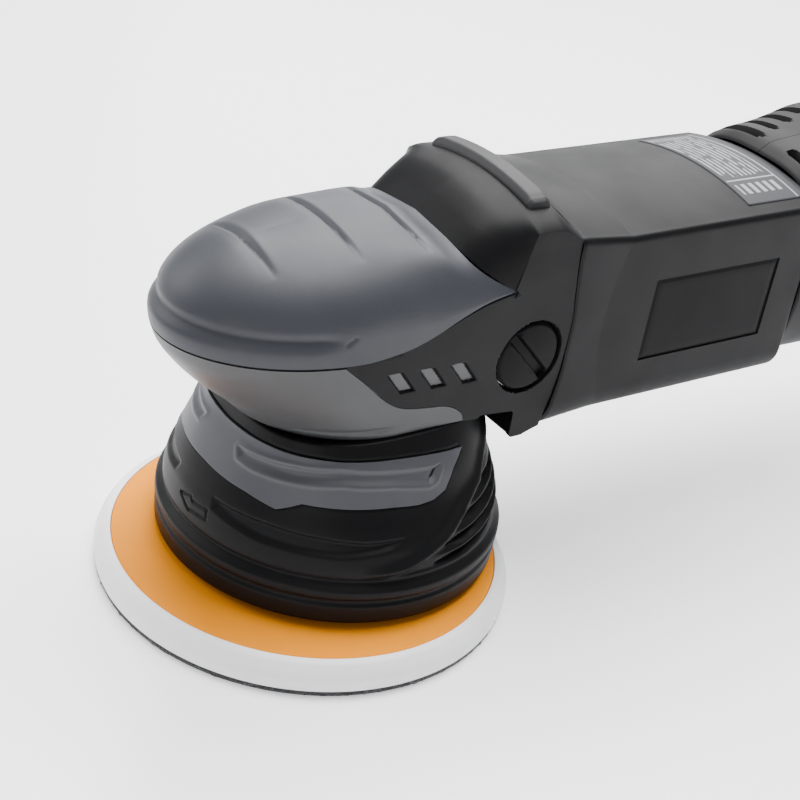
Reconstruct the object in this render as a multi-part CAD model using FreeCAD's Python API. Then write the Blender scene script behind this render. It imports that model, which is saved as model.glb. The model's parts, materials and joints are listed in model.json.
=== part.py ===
import FreeCAD, Part
import math
import os

V = FreeCAD.Vector

# ---------------------------------------------------------------- driving dimensions, millimetres
# Frame: origin on the drive spindle's axis in the plane of the pad's working face, +Z up along the
# spindle, nose towards -Y, handle towards +Y, operator's left towards +X.

fit = 0.02              # seated piece in its pocket, one body
running = 0.05          # radial clearance of a shaft that turns in its bearing
seam = 0.15             # joint line between two fixed shells
free = 0.5              # air around a piece that moves
wall = 2.8              # moulded shells

# backing plate and its orbit
plate_radius = 75.0
plate_hole = 8.5
hook_thickness = 2.0
hub_radius = 69.3
hub_bottom = 7.0
hub_top = 12.2
hub_boss_radius = 15.0
hub_boss_top = 16.0
rim_round = 4.0
orbit_offset = 10.5
orbit_angle = -72.0

# pad spindle and eccentric bearings
pad_shaft_radius = 6.0
pad_flange_radius = 9.5
pad_flange_height = 3.5
pad_bolt_radius = 4.0
eccentric_bearing = (6.0, 14.0, 8.0)      # bore radius, outside radius, width
eccentric_floor = 20.0
eccentric_wall = 4.5

# counterweight
weight_radius = 47.0
weight_bottom = 24.0
weight_top = 40.0
weight_hub_radius = 13.0
weight_hub_top = 50.0

# drive spindle and bevel gears
spindle_radius = 7.5
spindle_nose_radius = 4.0
spindle_bearing = (7.5, 17.5, 11.0)
upper_bearing = (4.0, 11.0, 7.0)
motor_z = 99.0
gear_teeth = 36
pinion_teeth = 12
gear_module = 1.3
tooth_face = 0.32       # share of the cone that the teeth cover

# gear case and lower bearing plate
case_half_width = 34.4
case_front = -60.0
case_rear = 60.5
case_floor = 73.0
case_floor_thickness = 5.0
case_roof = 128.0
case_wall = 5.0
plate_flange_radius = 36.0
plate_flange_thickness = 4.0
flange_thickness = 3.0
case_screw_circle = 31.0

# shroud round the counterweight
shroud_rim = 15.0
shroud_rim_radius = 61.6
shroud_neck_half_width = 42.0
shroud_neck_front = 46.0
shroud_wall = 3.0
insert_bottom = 52.0
insert_proud = 0.8

# head covers
head_half_width = 39.0
nose_y = -76.0
rim_z = 104.0
crown_z = 139.0
cover_wall = 3.0
shell_half_width = 38.0
ridge_y = 46.0
ridge_top = 150.0
ridge_half_width = 25.0
head_rear = 61.5
lug_bottom = 59.0
plug_radius = 13.0
plug_y = 47.2
plug_z = 93.7
plug_slot = 2.6
inlet_front = -13.8
inlet_pitch = 12.9
inlet_width = 7.6
inlet_lean = 6.8
inlet_top = 98.0
inlet_bottom = 89.2

# motor housing
housing_half_width = 37.5
housing_bottom = 60.0
housing_shoulder = 133.0
housing_apex = 139.0
housing_rear = 181.0
badge_length = 63.0
badge_height = 32.5
badge_y = 133.0
badge_z = 98.2

# motor
shaft_radius = 5.0
front_bearing = (5.0, 15.0, 9.0)
rear_bearing = (4.0, 11.0, 7.0)
core_radius = 17.0
core_front = 105.0
core_length = 45.0
air_gap = 0.8
commutator_radius = 12.0
commutator_front = 163.0
commutator_length = 15.0
fan_radius = 27.0
fan_front = 80.0
fan_width = 9.0
rear_bearing_front = 183.0

# rear handle
handle_end = 332.0
grip_half_width = 28.0
trigger_half_width = 9.0
trigger_front = 242.0
trigger_length = 58.0
trigger_angle = 6.0
lock_radius = 5.0
lock_y = 258.0
lock_z = 101.0
lock_travel = 3.0
lock_guide_end = 16.0
switch_half_width = 9.0
switch_front = 250.0
switch_rear = 283.0
dial_radius = 14.0
dial_half_width = 4.0
dial_y = 304.0
dial_z = 118.0
gland_radius = 9.0
cord_bore = 4.0
gland_length = 20.0
handle_screw_radius = 2.0

# ---------------------------------------------------------------- derived places
orbit_x = orbit_offset * math.cos(math.radians(orbit_angle))
orbit_y = orbit_offset * math.sin(math.radians(orbit_angle))
pinion_pitch = gear_module * pinion_teeth / 2
gear_pitch = gear_module * gear_teeth / 2
shroud_flange_top = case_floor - fit
plate_top = shroud_flange_top - flange_thickness - fit
lower_bearing_top = plate_top - 6.0
lower_bearing_bottom = lower_bearing_top - spindle_bearing[2]
handle_screw_seats = [(197.0, 76.0), (228.0, 77.0), (236.0, 127.0), (309.0, 88.0)]


# ---------------------------------------------------------------- small tools
def rod_x(radius, x0, x1, y, z):
    return Part.makeCylinder(radius, x1 - x0, V(x0, y, z), V(1, 0, 0))


def rod_y(radius, y0, y1, x=0.0, z=motor_z):
    return Part.makeCylinder(radius, y1 - y0, V(x, y0, z), V(0, 1, 0))


def rod_z(radius, z0, z1, x=0.0, y=0.0):
    return Part.makeCylinder(radius, z1 - z0, V(x, y, z0), V(0, 0, 1))


def block(x0, x1, y0, y1, z0, z1):
    return Part.makeBox(x1 - x0, y1 - y0, z1 - z0, V(x0, y0, z0))


def both(shape):
    """The shape and its mirror image across the middle plane."""
    return [shape, shape.mirror(V(0, 0, 0), V(1, 0, 0))]


def fused(*shapes):
    return shapes[0].multiFuse(list(shapes[1:])).removeSplitter()


def joined(*shapes):
    """As fused, but keeps the split lines of lofted skins."""
    return shapes[0].multiFuse(list(shapes[1:]))


def save(name, *shapes):
    shape = shapes[0] if len(shapes) == 1 else Part.makeCompound(list(shapes))
    solids = shape.Solids
    shape = solids[0] if len(solids) == 1 else Part.makeCompound(solids)
    if not shape.isValid() or not solids:
        raise ValueError(name + " is not a valid solid")
    shape.exportStep("parts/" + name + ".step")
    print(name, len(solids), round(shape.Volume))


def outline(place, start, *moves):
    """Closed wire: a move is a point for a straight line, or a (middle, end) pair for an arc."""
    edges = []
    here = place(start)
    for move in moves + (start,):
        curved = isinstance(move[0], tuple)
        end = place(move[1] if curved else move)
        if curved:
            edges.append(Part.Arc(here, place(move[0]), end).toShape())
        elif (end - here).Length > 1e-6:
            edges.append(Part.LineSegment(here, end).toShape())
        here = end
    return Part.Wire(edges)


def side_prism(half_width, *moves):
    """Side view outline of (y, z) points, extruded to both sides of the middle plane."""
    wire = outline(lambda p: V(-half_width, p[0], p[1]), *moves)
    return Part.Face(wire).extrude(V(2 * half_width, 0, 0))


def nose_wire(z, half_width, front, bend, rear):
    """Plan outline at height z: half an ellipse for the nose, then straight sides to the rear."""
    points = []
    for step in range(-8, 9):
        turn = math.radians(90 * step / 8)
        points.append(V(half_width * math.sin(turn), bend + (front - bend) * math.cos(turn), z))
    curve = Part.BSplineCurve()
    curve.interpolate(points)
    left = V(-half_width, rear, z)
    right = V(half_width, rear, z)
    edges = [curve.toShape(), Part.LineSegment(points[-1], right).toShape()]
    edges += [Part.LineSegment(right, left).toShape(), Part.LineSegment(left, points[0]).toShape()]
    return Part.Wire(edges)


def oval_wire(z, half_width, half_length, power):
    """Superellipse at height z; power 2 is an ellipse and more is squarer."""
    points = []
    for step in range(32):
        turn = 2 * math.pi * step / 32
        c = math.cos(turn)
        s = math.sin(turn)
        x = math.copysign(half_width * abs(c) ** (2 / power), c)
        y = math.copysign(half_length * abs(s) ** (2 / power), s)
        points.append(V(x, y, z))
    curve = Part.BSplineCurve()
    curve.interpolate(points, True)
    return Part.Wire([curve.toShape()])


def bearing_ring(bore, outside, width):
    """Sealed ball bearing along +Z from the origin, with the shallow recess of its shields."""
    ring = rod_z(outside, 0, width).cut(rod_z(bore, -1, width + 1))
    middle = (bore + outside) / 2
    half = (outside - bore) / 5
    for z0 in (-1.0, width - 0.6):
        shield = rod_z(middle + half, z0, z0 + 1.6).cut(rod_z(middle - half, z0 - 1, z0 + 3))
        ring = ring.cut(shield)
    return ring


def moved(shape, x, y, z):
    copy = shape.copy()
    copy.translate(V(x, y, z))
    return copy


def along_y(shape, y, z=motor_z):
    """A shape built along +Z, laid along +Y."""
    copy = shape.copy()
    copy.rotate(V(0, 0, 0), V(1, 0, 0), -90)
    copy.translate(V(0, y, z))
    return copy


# ---------------------------------------------------------------- backing plate
def make_backing_plate():
    x = orbit_x
    y = orbit_y
    hook = rod_z(plate_radius - 1, 0, hook_thickness, x, y)
    save("hook_disc", hook.cut(rod_z(plate_hole, -1, 5, x, y)))

    foam = rod_z(plate_radius, hook_thickness, hub_top - 0.2, x, y)
    edges = [e for e in foam.Edges if e.BoundBox.ZMin > hub_top - 0.3 and e.Closed]
    foam = foam.makeFillet(rim_round, edges)
    foam = foam.cut(rod_z(hub_radius + fit, hub_bottom, hub_top, x, y))
    save("pad_foam", foam.cut(rod_z(plate_hole, 0, hub_top, x, y)))

    hub = rod_z(hub_radius, hub_bottom + fit, hub_top, x, y)
    hub = fused(hub, rod_z(hub_boss_radius, hub_bottom + fit, hub_boss_top, x, y))
    hub = hub.cut(rod_z(plate_hole - 0.5, hub_bottom - 1, hub_bottom + 4, x, y))
    save("backing_hub", hub.cut(rod_z(pad_bolt_radius + 0.2, hub_bottom, hub_boss_top + 1, x, y)))

    seat = hub_bottom + 4
    washer = rod_z(plate_hole - 1, seat - 1.2, seat - fit, x, y)
    save("pad_washer", washer.cut(rod_z(pad_bolt_radius + 0.2, 0, seat + 1, x, y)))

    head_top = seat - 1.2 - fit
    bolt = fused(rod_z(6.5, head_top - 6, head_top, x, y), rod_z(pad_bolt_radius, head_top, 30, x, y))
    socket = Part.Face(Part.makePolygon([V(x + 3.4 * math.cos(math.radians(60 * k)),
                                           y + 3.4 * math.sin(math.radians(60 * k)),
                                           head_top - 7) for k in range(7)]))
    save("pad_bolt", bolt.cut(socket.extrude(V(0, 0, 5))))


# ---------------------------------------------------------------- eccentric drive
def make_pad_spindle():
    x = orbit_x
    y = orbit_y
    bottom = hub_boss_top + fit
    flange_top = bottom + pad_flange_height
    top = eccentric_floor + 1.2 + 2 * eccentric_bearing[2] + 2.6
    spindle = fused(rod_z(pad_flange_radius, bottom, flange_top, x, y),
                    rod_z(pad_shaft_radius, flange_top, top, x, y))
    groove = rod_z(pad_shaft_radius + 1, top - 2.0, top - 0.9, x, y)
    groove = groove.cut(rod_z(pad_shaft_radius - 0.8, 0, top, x, y))
    spindle = spindle.cut(groove)
    save("pad_spindle", spindle.cut(rod_z(pad_bolt_radius + fit, bottom - 1, 31, x, y)))

    clip = rod_z(pad_shaft_radius + 2.0, top - 1.98, top - 0.92, x, y)
    save("pad_clip", clip.cut(rod_z(pad_shaft_radius - 0.78, 0, top, x, y)))


def make_counterweight():
    x = orbit_x
    y = orbit_y
    bore, outside, width = eccentric_bearing
    floor = eccentric_floor
    pocket_top = floor + 1.2 + 2 * width + 3.6
    boss = rod_z(outside + eccentric_wall, floor, weight_top, x, y)
    web = rod_z(weight_radius, weight_bottom, weight_top)
    # the heavy half lies opposite the pad's axis
    keep = block(8.0, 60, -60, 60, 0, 60)
    keep.rotate(V(0, 0, 0), V(0, 0, 1), orbit_angle + 180)
    web = web.common(keep)
    disc = rod_z(26.0, weight_top - 8, weight_top)
    hub = rod_z(weight_hub_radius, weight_top - 8, weight_hub_top)
    weight = fused(disc, boss, web, hub)
    weight = weight.cut(rod_z(outside + fit, floor - 1, pocket_top, x, y))
    groove = rod_z(outside + 1.0, floor, floor + 1.1, x, y)
    weight = weight.cut(groove)
    spindle_seat = rod_z(spindle_radius - 0.5 + fit, pocket_top + 1.0, weight_hub_top + 1)
    save("counterweight", weight.cut(spindle_seat))

    clip = rod_z(outside + 0.9, floor + 0.02, floor + 1.08, x, y)
    save("eccentric_clip", clip.cut(rod_z(outside - 2.5, 0, 60, x, y)))
    for index, name in enumerate(("eccentric_bearing_lower", "eccentric_bearing_upper")):
        ring = bearing_ring(bore + running, outside, width)
        z = floor + 1.15 + index * (width + 0.1)
        save(name, moved(ring, x, y, z))


def make_drive_spindle():
    bottom = eccentric_floor + 1.2 + 2 * eccentric_bearing[2] + 4.7
    seat_radius = spindle_radius - 0.5
    top = case_roof - case_wall - 1.0
    collar_z = lower_bearing_top + 0.4
    gear_back = motor_z - pinion_pitch - 11.0
    gear_front = motor_z - pinion_pitch + 4.0
    spindle = fused(rod_z(seat_radius, bottom, weight_hub_top, 0, 0),
                    rod_z(spindle_radius, weight_hub_top, gear_front),
                    rod_z(spindle_radius + 2.5, collar_z, gear_back - fit),
                    rod_z(spindle_nose_radius, gear_front, top))
    save("drive_spindle", spindle)

    gear_top = motor_z + gear_root(gear_pitch, pinion_pitch)[1] * (1 - tooth_face)
    clip = rod_z(spindle_radius + 3, gear_top + fit, gear_top + 1.2)
    save("gear_clip", clip.cut(rod_z(spindle_radius + fit, 0, 130)))


def gear_root(pitch, mate_pitch):
    """Radius and height of the foot of a bevel tooth at the gear's rim, from the cone's apex."""
    cone = math.hypot(pitch, mate_pitch)
    dedendum = 1.15 * gear_module
    return pitch - dedendum * mate_pitch / cone, -mate_pitch - dedendum * pitch / cone


def bevel_gear(teeth, pitch, mate_pitch, bore, hub_length, turn):
    """Straight bevel gear about Z with its cone's apex at the origin and its back at -Z."""
    cone = math.hypot(pitch, mate_pitch)
    up_r = mate_pitch / cone
    up_z = pitch / cone
    addendum = 0.9 * gear_module
    dedendum = 1.15 * gear_module
    shrink = 1 - tooth_face
    root_r, root_z = gear_root(pitch, mate_pitch)
    back = root_z - hub_length
    ring = [(bore, root_z * shrink), (root_r * shrink, root_z * shrink), (root_r, root_z),
            (root_r, back), (bore, back)]
    wire = Part.makePolygon([V(r, 0, z) for r, z in ring + ring[:1]])
    gear = Part.Face(wire).revolve(V(0, 0, 0), V(0, 0, 1), 360)
    flank = math.tan(math.radians(20))
    middle = math.pi * gear_module / 4 - 0.2
    section = []
    for height, sign in ((-dedendum - 0.3, -1), (addendum, -1), (addendum, 1), (-dedendum - 0.3, 1)):
        half = middle - height * flank
        section.append(V(pitch + height * up_r, sign * half, -mate_pitch + height * up_z))
    outer = Part.makePolygon(section + section[:1])
    inner = Part.makePolygon([p * shrink for p in section + section[:1]])
    tooth = Part.makeLoft([outer, inner], True, True)
    if not tooth.isValid() or tooth.Volume < 0:
        tooth = tooth.reversed()
    cutters = []
    for index in range(teeth):
        copy = tooth.copy()
        copy.rotate(V(0, 0, 0), V(0, 0, 1), turn + 360 * index / teeth)
        cutters.append(copy)
    return gear.multiFuse(cutters)


def make_gears():
    ring = bevel_gear(gear_teeth, gear_pitch, pinion_pitch, spindle_radius + fit, 2.0,
                      180 / gear_teeth)
    boss = rod_z(13.0, -pinion_pitch - 11.0, -pinion_pitch - 2.5)
    boss = boss.cut(rod_z(spindle_radius + fit, -30, 0))
    save("ring_gear", moved(fused(ring, boss), 0, 0, motor_z))

    pinion = bevel_gear(pinion_teeth, pinion_pitch, gear_pitch, 3.0 + fit, 3.0, -90.0)
    pinion.rotate(V(0, 0, 0), V(1, 0, 0), 90)
    save("pinion", moved(pinion, 0, 0, motor_z))


def make_spindle_bearings():
    bore, outside, width = spindle_bearing
    lower = bearing_ring(bore + running, outside, width)
    save("spindle_bearing_lower", moved(lower, 0, 0, lower_bearing_bottom))
    clip = rod_z(outside + 0.9, lower_bearing_bottom - 1.1, lower_bearing_bottom - fit)
    save("bearing_clip", clip.cut(rod_z(outside - 3.0, 0, 90)))
    bore, outside, width = upper_bearing
    upper = bearing_ring(bore + running, outside, width)
    save("spindle_bearing_upper", moved(upper, 0, 0, case_roof - case_wall - width - 0.5))


# ---------------------------------------------------------------- gear case
def case_screw_places():
    for quarter in range(4):
        turn = math.radians(45 + 90 * quarter)
        yield case_screw_circle * math.cos(turn), case_screw_circle * math.sin(turn)


def make_bearing_plate():
    outside = spindle_bearing[1]
    plate = rod_z(plate_flange_radius, plate_top - plate_flange_thickness, plate_top)
    boss = rod_z(outside + 5, lower_bearing_bottom - 2.5, plate_top)
    spigot = rod_z(26.6, plate_top - 1, case_floor + case_floor_thickness)
    plate = fused(plate, boss, spigot)
    plate = plate.cut(rod_z(outside + fit, 0, lower_bearing_top))
    plate = plate.cut(rod_z(outside + 1, lower_bearing_bottom - 1.15, lower_bearing_bottom))
    plate = plate.cut(rod_z(outside - 4, lower_bearing_bottom, case_floor + 10))
    for x, y in case_screw_places():
        plate = plate.cut(rod_z(2.6, 0, 100, x, y))
    save("bearing_plate", plate)

    screws = []
    for x, y in case_screw_places():
        head = rod_z(4.2, plate_top - plate_flange_thickness - 3.5,
                     plate_top - plate_flange_thickness - fit, x, y)
        shank = rod_z(2.4, plate_top - plate_flange_thickness - 2, case_floor + 4.2, x, y)
        screws.append(fused(head, shank))
    save("gear_case_screws", *screws)


def case_body(inset, z0, z1, rear):
    """The gear case's own outline, set in by a wall."""
    half = case_half_width - inset
    front = case_front + inset
    lower = Part.makeLoft([nose_wire(z0, half, -38.0 + inset, -4, rear),
                           nose_wire(86.0, half, -50.0 + inset, -10, rear),
                           nose_wire(rim_z, half, front, -20, rear)], True, True)
    upper = Part.makeLoft([nose_wire(rim_z, half, front, -20, rear),
                           nose_wire(113.0, half, front + 1, -20, rear),
                           nose_wire(120.0, half - 4, front + 4, -20, rear),
                           nose_wire(z1, half - 12, front + 9, -20, rear)], True, True)
    return fused(lower, upper)


def make_gear_case():
    case = case_body(0, case_floor, case_roof, case_rear)
    hollow = case_body(case_wall, case_floor + case_floor_thickness, case_roof - case_wall, 30.0)
    boss = rod_z(upper_bearing[1] + 3.5, case_roof - case_wall - 9, case_roof - case_wall + 1)
    case = case.cut(hollow.cut(boss))
    pocket_bottom = case_roof - case_wall - upper_bearing[2] - 0.52
    case = case.cut(rod_z(upper_bearing[1] + fit, pocket_bottom - 3, case_roof - case_wall - 0.48))
    case = case.cut(rod_z(26.6 + fit, case_floor - 1, case_floor + case_floor_thickness + 0.5))
    case = case.cut(rod_y(24.0 + fit, 28, case_rear + 1))
    for x, y in case_screw_places():
        case = case.cut(rod_z(2.4 + fit, 0, case_floor + 4.4, x, y))
    for x, z in housing_screw_places():
        case = case.cut(rod_y(2.0 + fit, case_rear - 12, case_rear + 1, x, z))
    for stem in both(rod_x(5.0 + fit, case_half_width - 6, case_half_width + 2, plug_y, plug_z)):
        case = case.cut(stem)
    save("gear_case", case)

    bore, outside, width = front_bearing
    pocket = case_rear - width - 1.5
    carrier = rod_y(24.0, case_rear - 14, case_rear - 0.2)
    carrier = carrier.cut(rod_y(outside + fit, pocket, case_rear + 1))
    save("bearing_carrier", carrier.cut(rod_y(outside - 4, 0, 100)))
    ring = bearing_ring(bore + running, outside, width)
    save("motor_bearing_front", along_y(ring, pocket + fit))


# ---------------------------------------------------------------- shroud
def shroud_levels():
    """Height, half-width, half-length and squareness from the rim to the neck."""
    rim = shroud_rim_radius
    side = shroud_neck_half_width
    front = shroud_neck_front
    top = plate_top + flange_thickness
    return [(shroud_rim, rim, rim, 2.0), (31.0, rim - 0.6, rim - 0.6, 2.0),
            (32.5, rim - 1.8, rim - 1.8, 2.0), (35.0, rim, rim, 2.0), (40.0, rim - 1.8, rim - 1.2, 2.0),
            (insert_bottom - 6, rim - 6.6, rim - 4.8, 2.1), (insert_bottom, rim - 10.6, rim - 7.6, 2.15),
            (61.0, side + 4.5, front + 3.5, 2.3), (plate_top - 1.5, side, front, 2.6),
            (top, side - 3.5, front - 1.5, 2.7)]


def shroud_body(inset, low=0.0, high=0.0):
    levels = shroud_levels()
    wires = []
    for index, (z, half, length, power) in enumerate(levels):
        if index == 0:
            z -= low
        if index == len(levels) - 1:
            z += high
        wires.append(oval_wire(z, half - inset, length - inset, power))
    return Part.makeLoft(wires, True, True)


def insert_region(gap):
    """Space of the coloured band: the front and sides of the upper shroud."""
    top = plate_top - 3.5
    return side_prism(80.0, (-80, insert_bottom - gap), (2 + gap, insert_bottom - gap),
                      (9 + gap, insert_bottom + 6), (14 + gap, top + gap), (-80, top + gap))


def make_shroud():
    outer = shroud_body(0)
    top = plate_top + flange_thickness
    flange_bottom = top - flange_thickness
    inner = shroud_body(shroud_wall, low=1.0).cut(block(-80, 80, -80, 80, flange_bottom, top + 5))
    shell = outer.cut(inner)
    shell = shell.cut(rod_z(26.6 + 0.3, flange_bottom - 1, top + 1))
    for x, y in case_screw_places():
        shell = shell.cut(rod_z(2.6, flange_bottom - 1, top + 1, x, y))
    skin = shroud_body(-insert_proud, low=1.0, high=1.0)
    core = shroud_body(1.2, low=2.0, high=2.0)
    band = skin.common(insert_region(0)).cut(core)
    shell = shell.cut(insert_region(0.1).cut(shroud_body(1.2 + 0.05, low=2.0, high=2.0)))
    # slanting air outlets on the two rear quarters
    for side in (1, -1):
        for step in range(3):
            slot = block(40, 75, -9, 9, -1.6, 1.6)
            slot.rotate(V(0, 0, 0), V(1, 0, 0), -35 * side)
            slot.rotate(V(0, 0, 0), V(0, 0, 1), 90 - side * 52)
            slot.translate(V(0, 0, 38 + 7.5 * step))
            shell = shell.cut(slot)
    save("shroud", shell)
    save("shroud_insert", band)


# ---------------------------------------------------------------- head covers
def upper_dome(inset, z0, rear):
    half = head_half_width - inset
    front = nose_y + inset
    bend = -20.0
    top = crown_z - inset
    levels = [(z0, half, front), (rim_z + 10 - inset / 2, half, front + 0.8),
              (top - 17, half - 2.5, front + 4), (top - 9, half - 10, front + 12.5),
              (top - 4, half - 18, front + 27), (top, half - 34, front + 50)]
    wires = [nose_wire(z, width, tip, bend, rear) for z, width, tip in levels]
    return Part.makeLoft(wires, True, True)


def lower_bowl(inset, z0, z1, rear):
    levels = [(case_floor + 0.3, head_half_width - 1.5, -46.0, -3), (79.0, head_half_width - 1.5, -52.5, -6),
              (86.0, head_half_width - 1.4, -62.0, -11), (94.0, head_half_width - 1.0, -70.5, -16),
              (rim_z, head_half_width, nose_y, -20)]
    wires = []
    for index, (z, half, front, bend) in enumerate(levels):
        if index == 0:
            z = z0
        if index == len(levels) - 1:
            z = z1
        wires.append(nose_wire(z, half - inset, front + inset, bend, rear))
    return Part.makeLoft(wires, True, True)


def rim_side_line():
    """The upper cover's lower edge along the side, from the nose back to its tip (y, z)."""
    return [(-19.0, rim_z), (-9.0, rim_z + 1.5), (3.0, rim_z + 5), (14.0, rim_z + 10),
            (24.0, rim_z + 14), (36.0, rim_z + 16)]


def lower_side_line():
    """The lower cover's upper edge along the side, from the rim back to its tip (y, z)."""
    return [(-30.0, rim_z), (-20.0, 95.0), (-11.0, 87.0), (4.0, 82.0), (15.0, 79.5), (23.0, 73.3)]


def upper_region(gap):
    """Space of the upper cover in side view, drawn in by a gap at its lower and rear edges."""
    rim = [(y - gap, z + gap) for y, z in rim_side_line()]
    return side_prism(60.0, (-90, rim_z + gap), *rim, (14.0 - gap, crown_z - 2.5), (14.0 - gap, crown_z + 9),
                      (-90, crown_z + 9))


def lower_region(gap):
    """Space of the lower cover in side view, drawn in by a gap at its upper and rear edges."""
    line = [(y - gap, z - gap) for y, z in lower_side_line()]
    return side_prism(60.0, (-90, 60), (-90, rim_z + 2), (line[0][0] - 0.7, rim_z + 2), *line[1:],
                      (line[-1][0], 60))


def make_upper_cover():
    outer = upper_dome(0, rim_z, 60.0)
    inner = upper_dome(cover_wall, rim_z - 2, 61.0)
    shell = outer.cut(inner).common(upper_region(0.4))
    # three shallow finger grooves across the crown
    for y, half in ((-48.0, 19.0), (-20.0, 24.0), (5.0, 26.0)):
        ring = Part.makeTorus(90.0, 1.0, V(0, y, crown_z - 90.3), V(0, 1, 0))
        groove = ring.common(block(-half, half, y - 3, y + 3, crown_z - 20, crown_z + 5))
        shell = shell.cut(groove)
    save("upper_cover", shell)


def make_lower_cover():
    outer = lower_bowl(0, case_floor + 0.3, rim_z - 0.4, 30.0)
    inner = lower_bowl(cover_wall, case_floor - 1, rim_z + 1, 31.0)
    save("lower_cover", outer.cut(inner).common(lower_region(0.3)))


def head_section(inset, y0, y1):
    """Front view outline of the rear head, extruded along the motor's axis."""
    half = shell_half_width - inset
    shoulder = ridge_top - 16 - inset
    top = ridge_top - inset
    start = (0.0, lug_bottom - 1 + inset)
    bend = half - 5
    facet = ridge_half_width - 2
    moves = [(half, start[1]), (half, shoulder), ((bend, shoulder + 7.5), (facet, top - 3.5)),
             ((0.0, top), (-facet, top - 3.5)), ((-bend, shoulder + 7.5), (-half, shoulder)),
             (-half, start[1])]
    wire = outline(lambda p: V(p[0], y0, p[1]), start, *moves)
    return Part.Face(wire).extrude(V(0, y1 - y0, 0))


def make_head_shell():
    rim = rim_side_line()
    low = lower_side_line()
    profile = [low[0], *rim, (14.0, crown_z - 2.5),
               (ridge_y - 5, ridge_top - 2), (ridge_y - 5, ridge_top - 4),
               (ridge_y + 5, ridge_top - 4), (ridge_y + 5, ridge_top - 2.5), (head_rear, housing_apex),
               (head_rear, 64.0), (56.0, lug_bottom), (47.0, lug_bottom), (47.0, 70.0), (32.0, 70.0),
               (30.0, case_floor), (low[-1][0], case_floor), *reversed(low[1:-1])]
    outer = side_prism(shell_half_width, *profile).common(head_section(0, -60, head_rear))
    # the gear case and the gear-case end of the housing fill the space inside
    shell = outer.cut(case_body(-seam, lug_bottom - 5, case_roof + 0.3, head_rear + 3))
    shell = shell.cut(lower_region(0)).cut(shroud_body(-0.3, high=0.4))
    roof = side_prism(shell_half_width - wall, (10.0, 115.0), (10.0, crown_z - 7),
                      (ridge_y - 5, ridge_top - 8), (ridge_y + 5, ridge_top - 8),
                      (head_rear + 2, housing_apex - 4), (head_rear + 2, 115.0))
    shell = shell.cut(roof.common(head_section(wall + 1.5, 0, 90)))
    shell = shell.cut(upper_dome(-1.0, rim_z - 2, 60).common(upper_region(0)))
    shell = shell.cut(block(-26.9, 26.9, 24, head_rear + 5, 40, case_floor + 3))
    # three air inlets and the recess of the side plug, on each side
    for step in range(3):
        y = inlet_front + inlet_pitch * step
        foot = y + inlet_lean
        shell = shell.cut(side_prism(60.0, (y, inlet_top), (y + inlet_width, inlet_top),
                                     (foot + inlet_width, inlet_bottom), (foot, inlet_bottom)))
    for recess in both(rod_x(plug_radius + 0.3, case_half_width - 1, 45, plug_y, plug_z)):
        shell = shell.cut(recess)
    parts = sorted(shell.Solids, key=lambda s: s.Volume)
    save("head_shell", *[s for s in parts if s.Volume > 60])


def make_ridge_pad():
    front = ridge_y - 4.6
    rear = ridge_y + 4.6
    bar = side_prism(ridge_half_width + 3, (front, ridge_top - 3.8), (front, ridge_top + 0.5),
                     ((ridge_y, ridge_top + 2.2), (rear, ridge_top + 0.5)), (rear, ridge_top - 3.8))
    arch = Part.makeCylinder(110.0, 20, V(0, ridge_y - 10, ridge_top - 108.0), V(0, 1, 0))
    save("ridge_pad", bar.common(arch))


def make_side_plugs():
    for name, side in (("side_plug_left", 0), ("side_plug_right", 1)):
        plug = fused(rod_x(plug_radius, case_half_width + seam, shell_half_width + 0.6, plug_y, plug_z),
                     rod_x(5.0, case_half_width - 5.5, shell_half_width, plug_y, plug_z))
        slot = block(shell_half_width - 1.4, shell_half_width + 2, plug_y - 20, plug_y + 20,
                     plug_z - plug_slot / 2, plug_z + plug_slot / 2)
        slot.rotate(V(0, plug_y, plug_z), V(1, 0, 0), -46)
        save(name, both(plug.cut(slot))[side])


# ---------------------------------------------------------------- motor housing
def housing_screw_places():
    for x in (-28.5, 28.5):
        for z in (motor_z - 20.5, motor_z + 20.5):
            yield x, z


def housing_section(inset, y0, y1):
    half = housing_half_width - inset
    bottom = housing_bottom + inset
    shoulder = housing_shoulder - inset * 0.4
    apex = housing_apex - inset
    wire = outline(lambda p: V(p[0], y0, p[1]), (0.0, bottom), (half - 9, bottom), (half, bottom + 10),
                   (half, shoulder - 3), ((half - 0.9, shoulder - 0.9), (half - 3, shoulder)),
                   ((0.0, apex), (3 - half, shoulder)),
                   ((0.9 - half, shoulder - 0.9), (-half, shoulder - 3)),
                   (-half, bottom + 10), (9 - half, bottom))
    return Part.Face(wire).extrude(V(0, y1 - y0, 0))


def make_motor_housing():
    front = head_rear + seam
    shell = housing_section(0, front, housing_rear).cut(housing_section(wall, front - 1, housing_rear + 1))
    pieces = [shell]
    for x, z in housing_screw_places():
        side = 1 if x > 0 else -1
        reach = housing_half_width - 1
        lug = rod_y(4.5, front, front + 9, x, z)
        arm = block(min(x, side * reach), max(x, side * reach), front, front + 9, z - 3, z + 3)
        pieces += [lug, arm]
    shell = fused(*pieces)
    for x, z in housing_screw_places():
        shell = shell.cut(rod_y(2.3, front - 1, front + 20, x, z))
    for panel in both(badge_block(0.1)):
        shell = shell.cut(panel)
    save("motor_housing", shell)

    for name, side in (("badge_left", 0), ("badge_right", 1)):
        save(name, both(badge_block(0))[side])

    screws = []
    for x, z in housing_screw_places():
        screws.append(fused(rod_y(2.0, case_rear - 11, front + 10, x, z),
                            rod_y(3.6, front + 9 + fit, front + 12, x, z)))
    save("housing_screws", *screws)

    label = housing_section(-0.3, 147, 179).cut(housing_section(-0.06, 140, 185))
    save("rating_label", label.common(block(-31, 31, 140, 190, housing_shoulder - 1, 150)))


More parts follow.
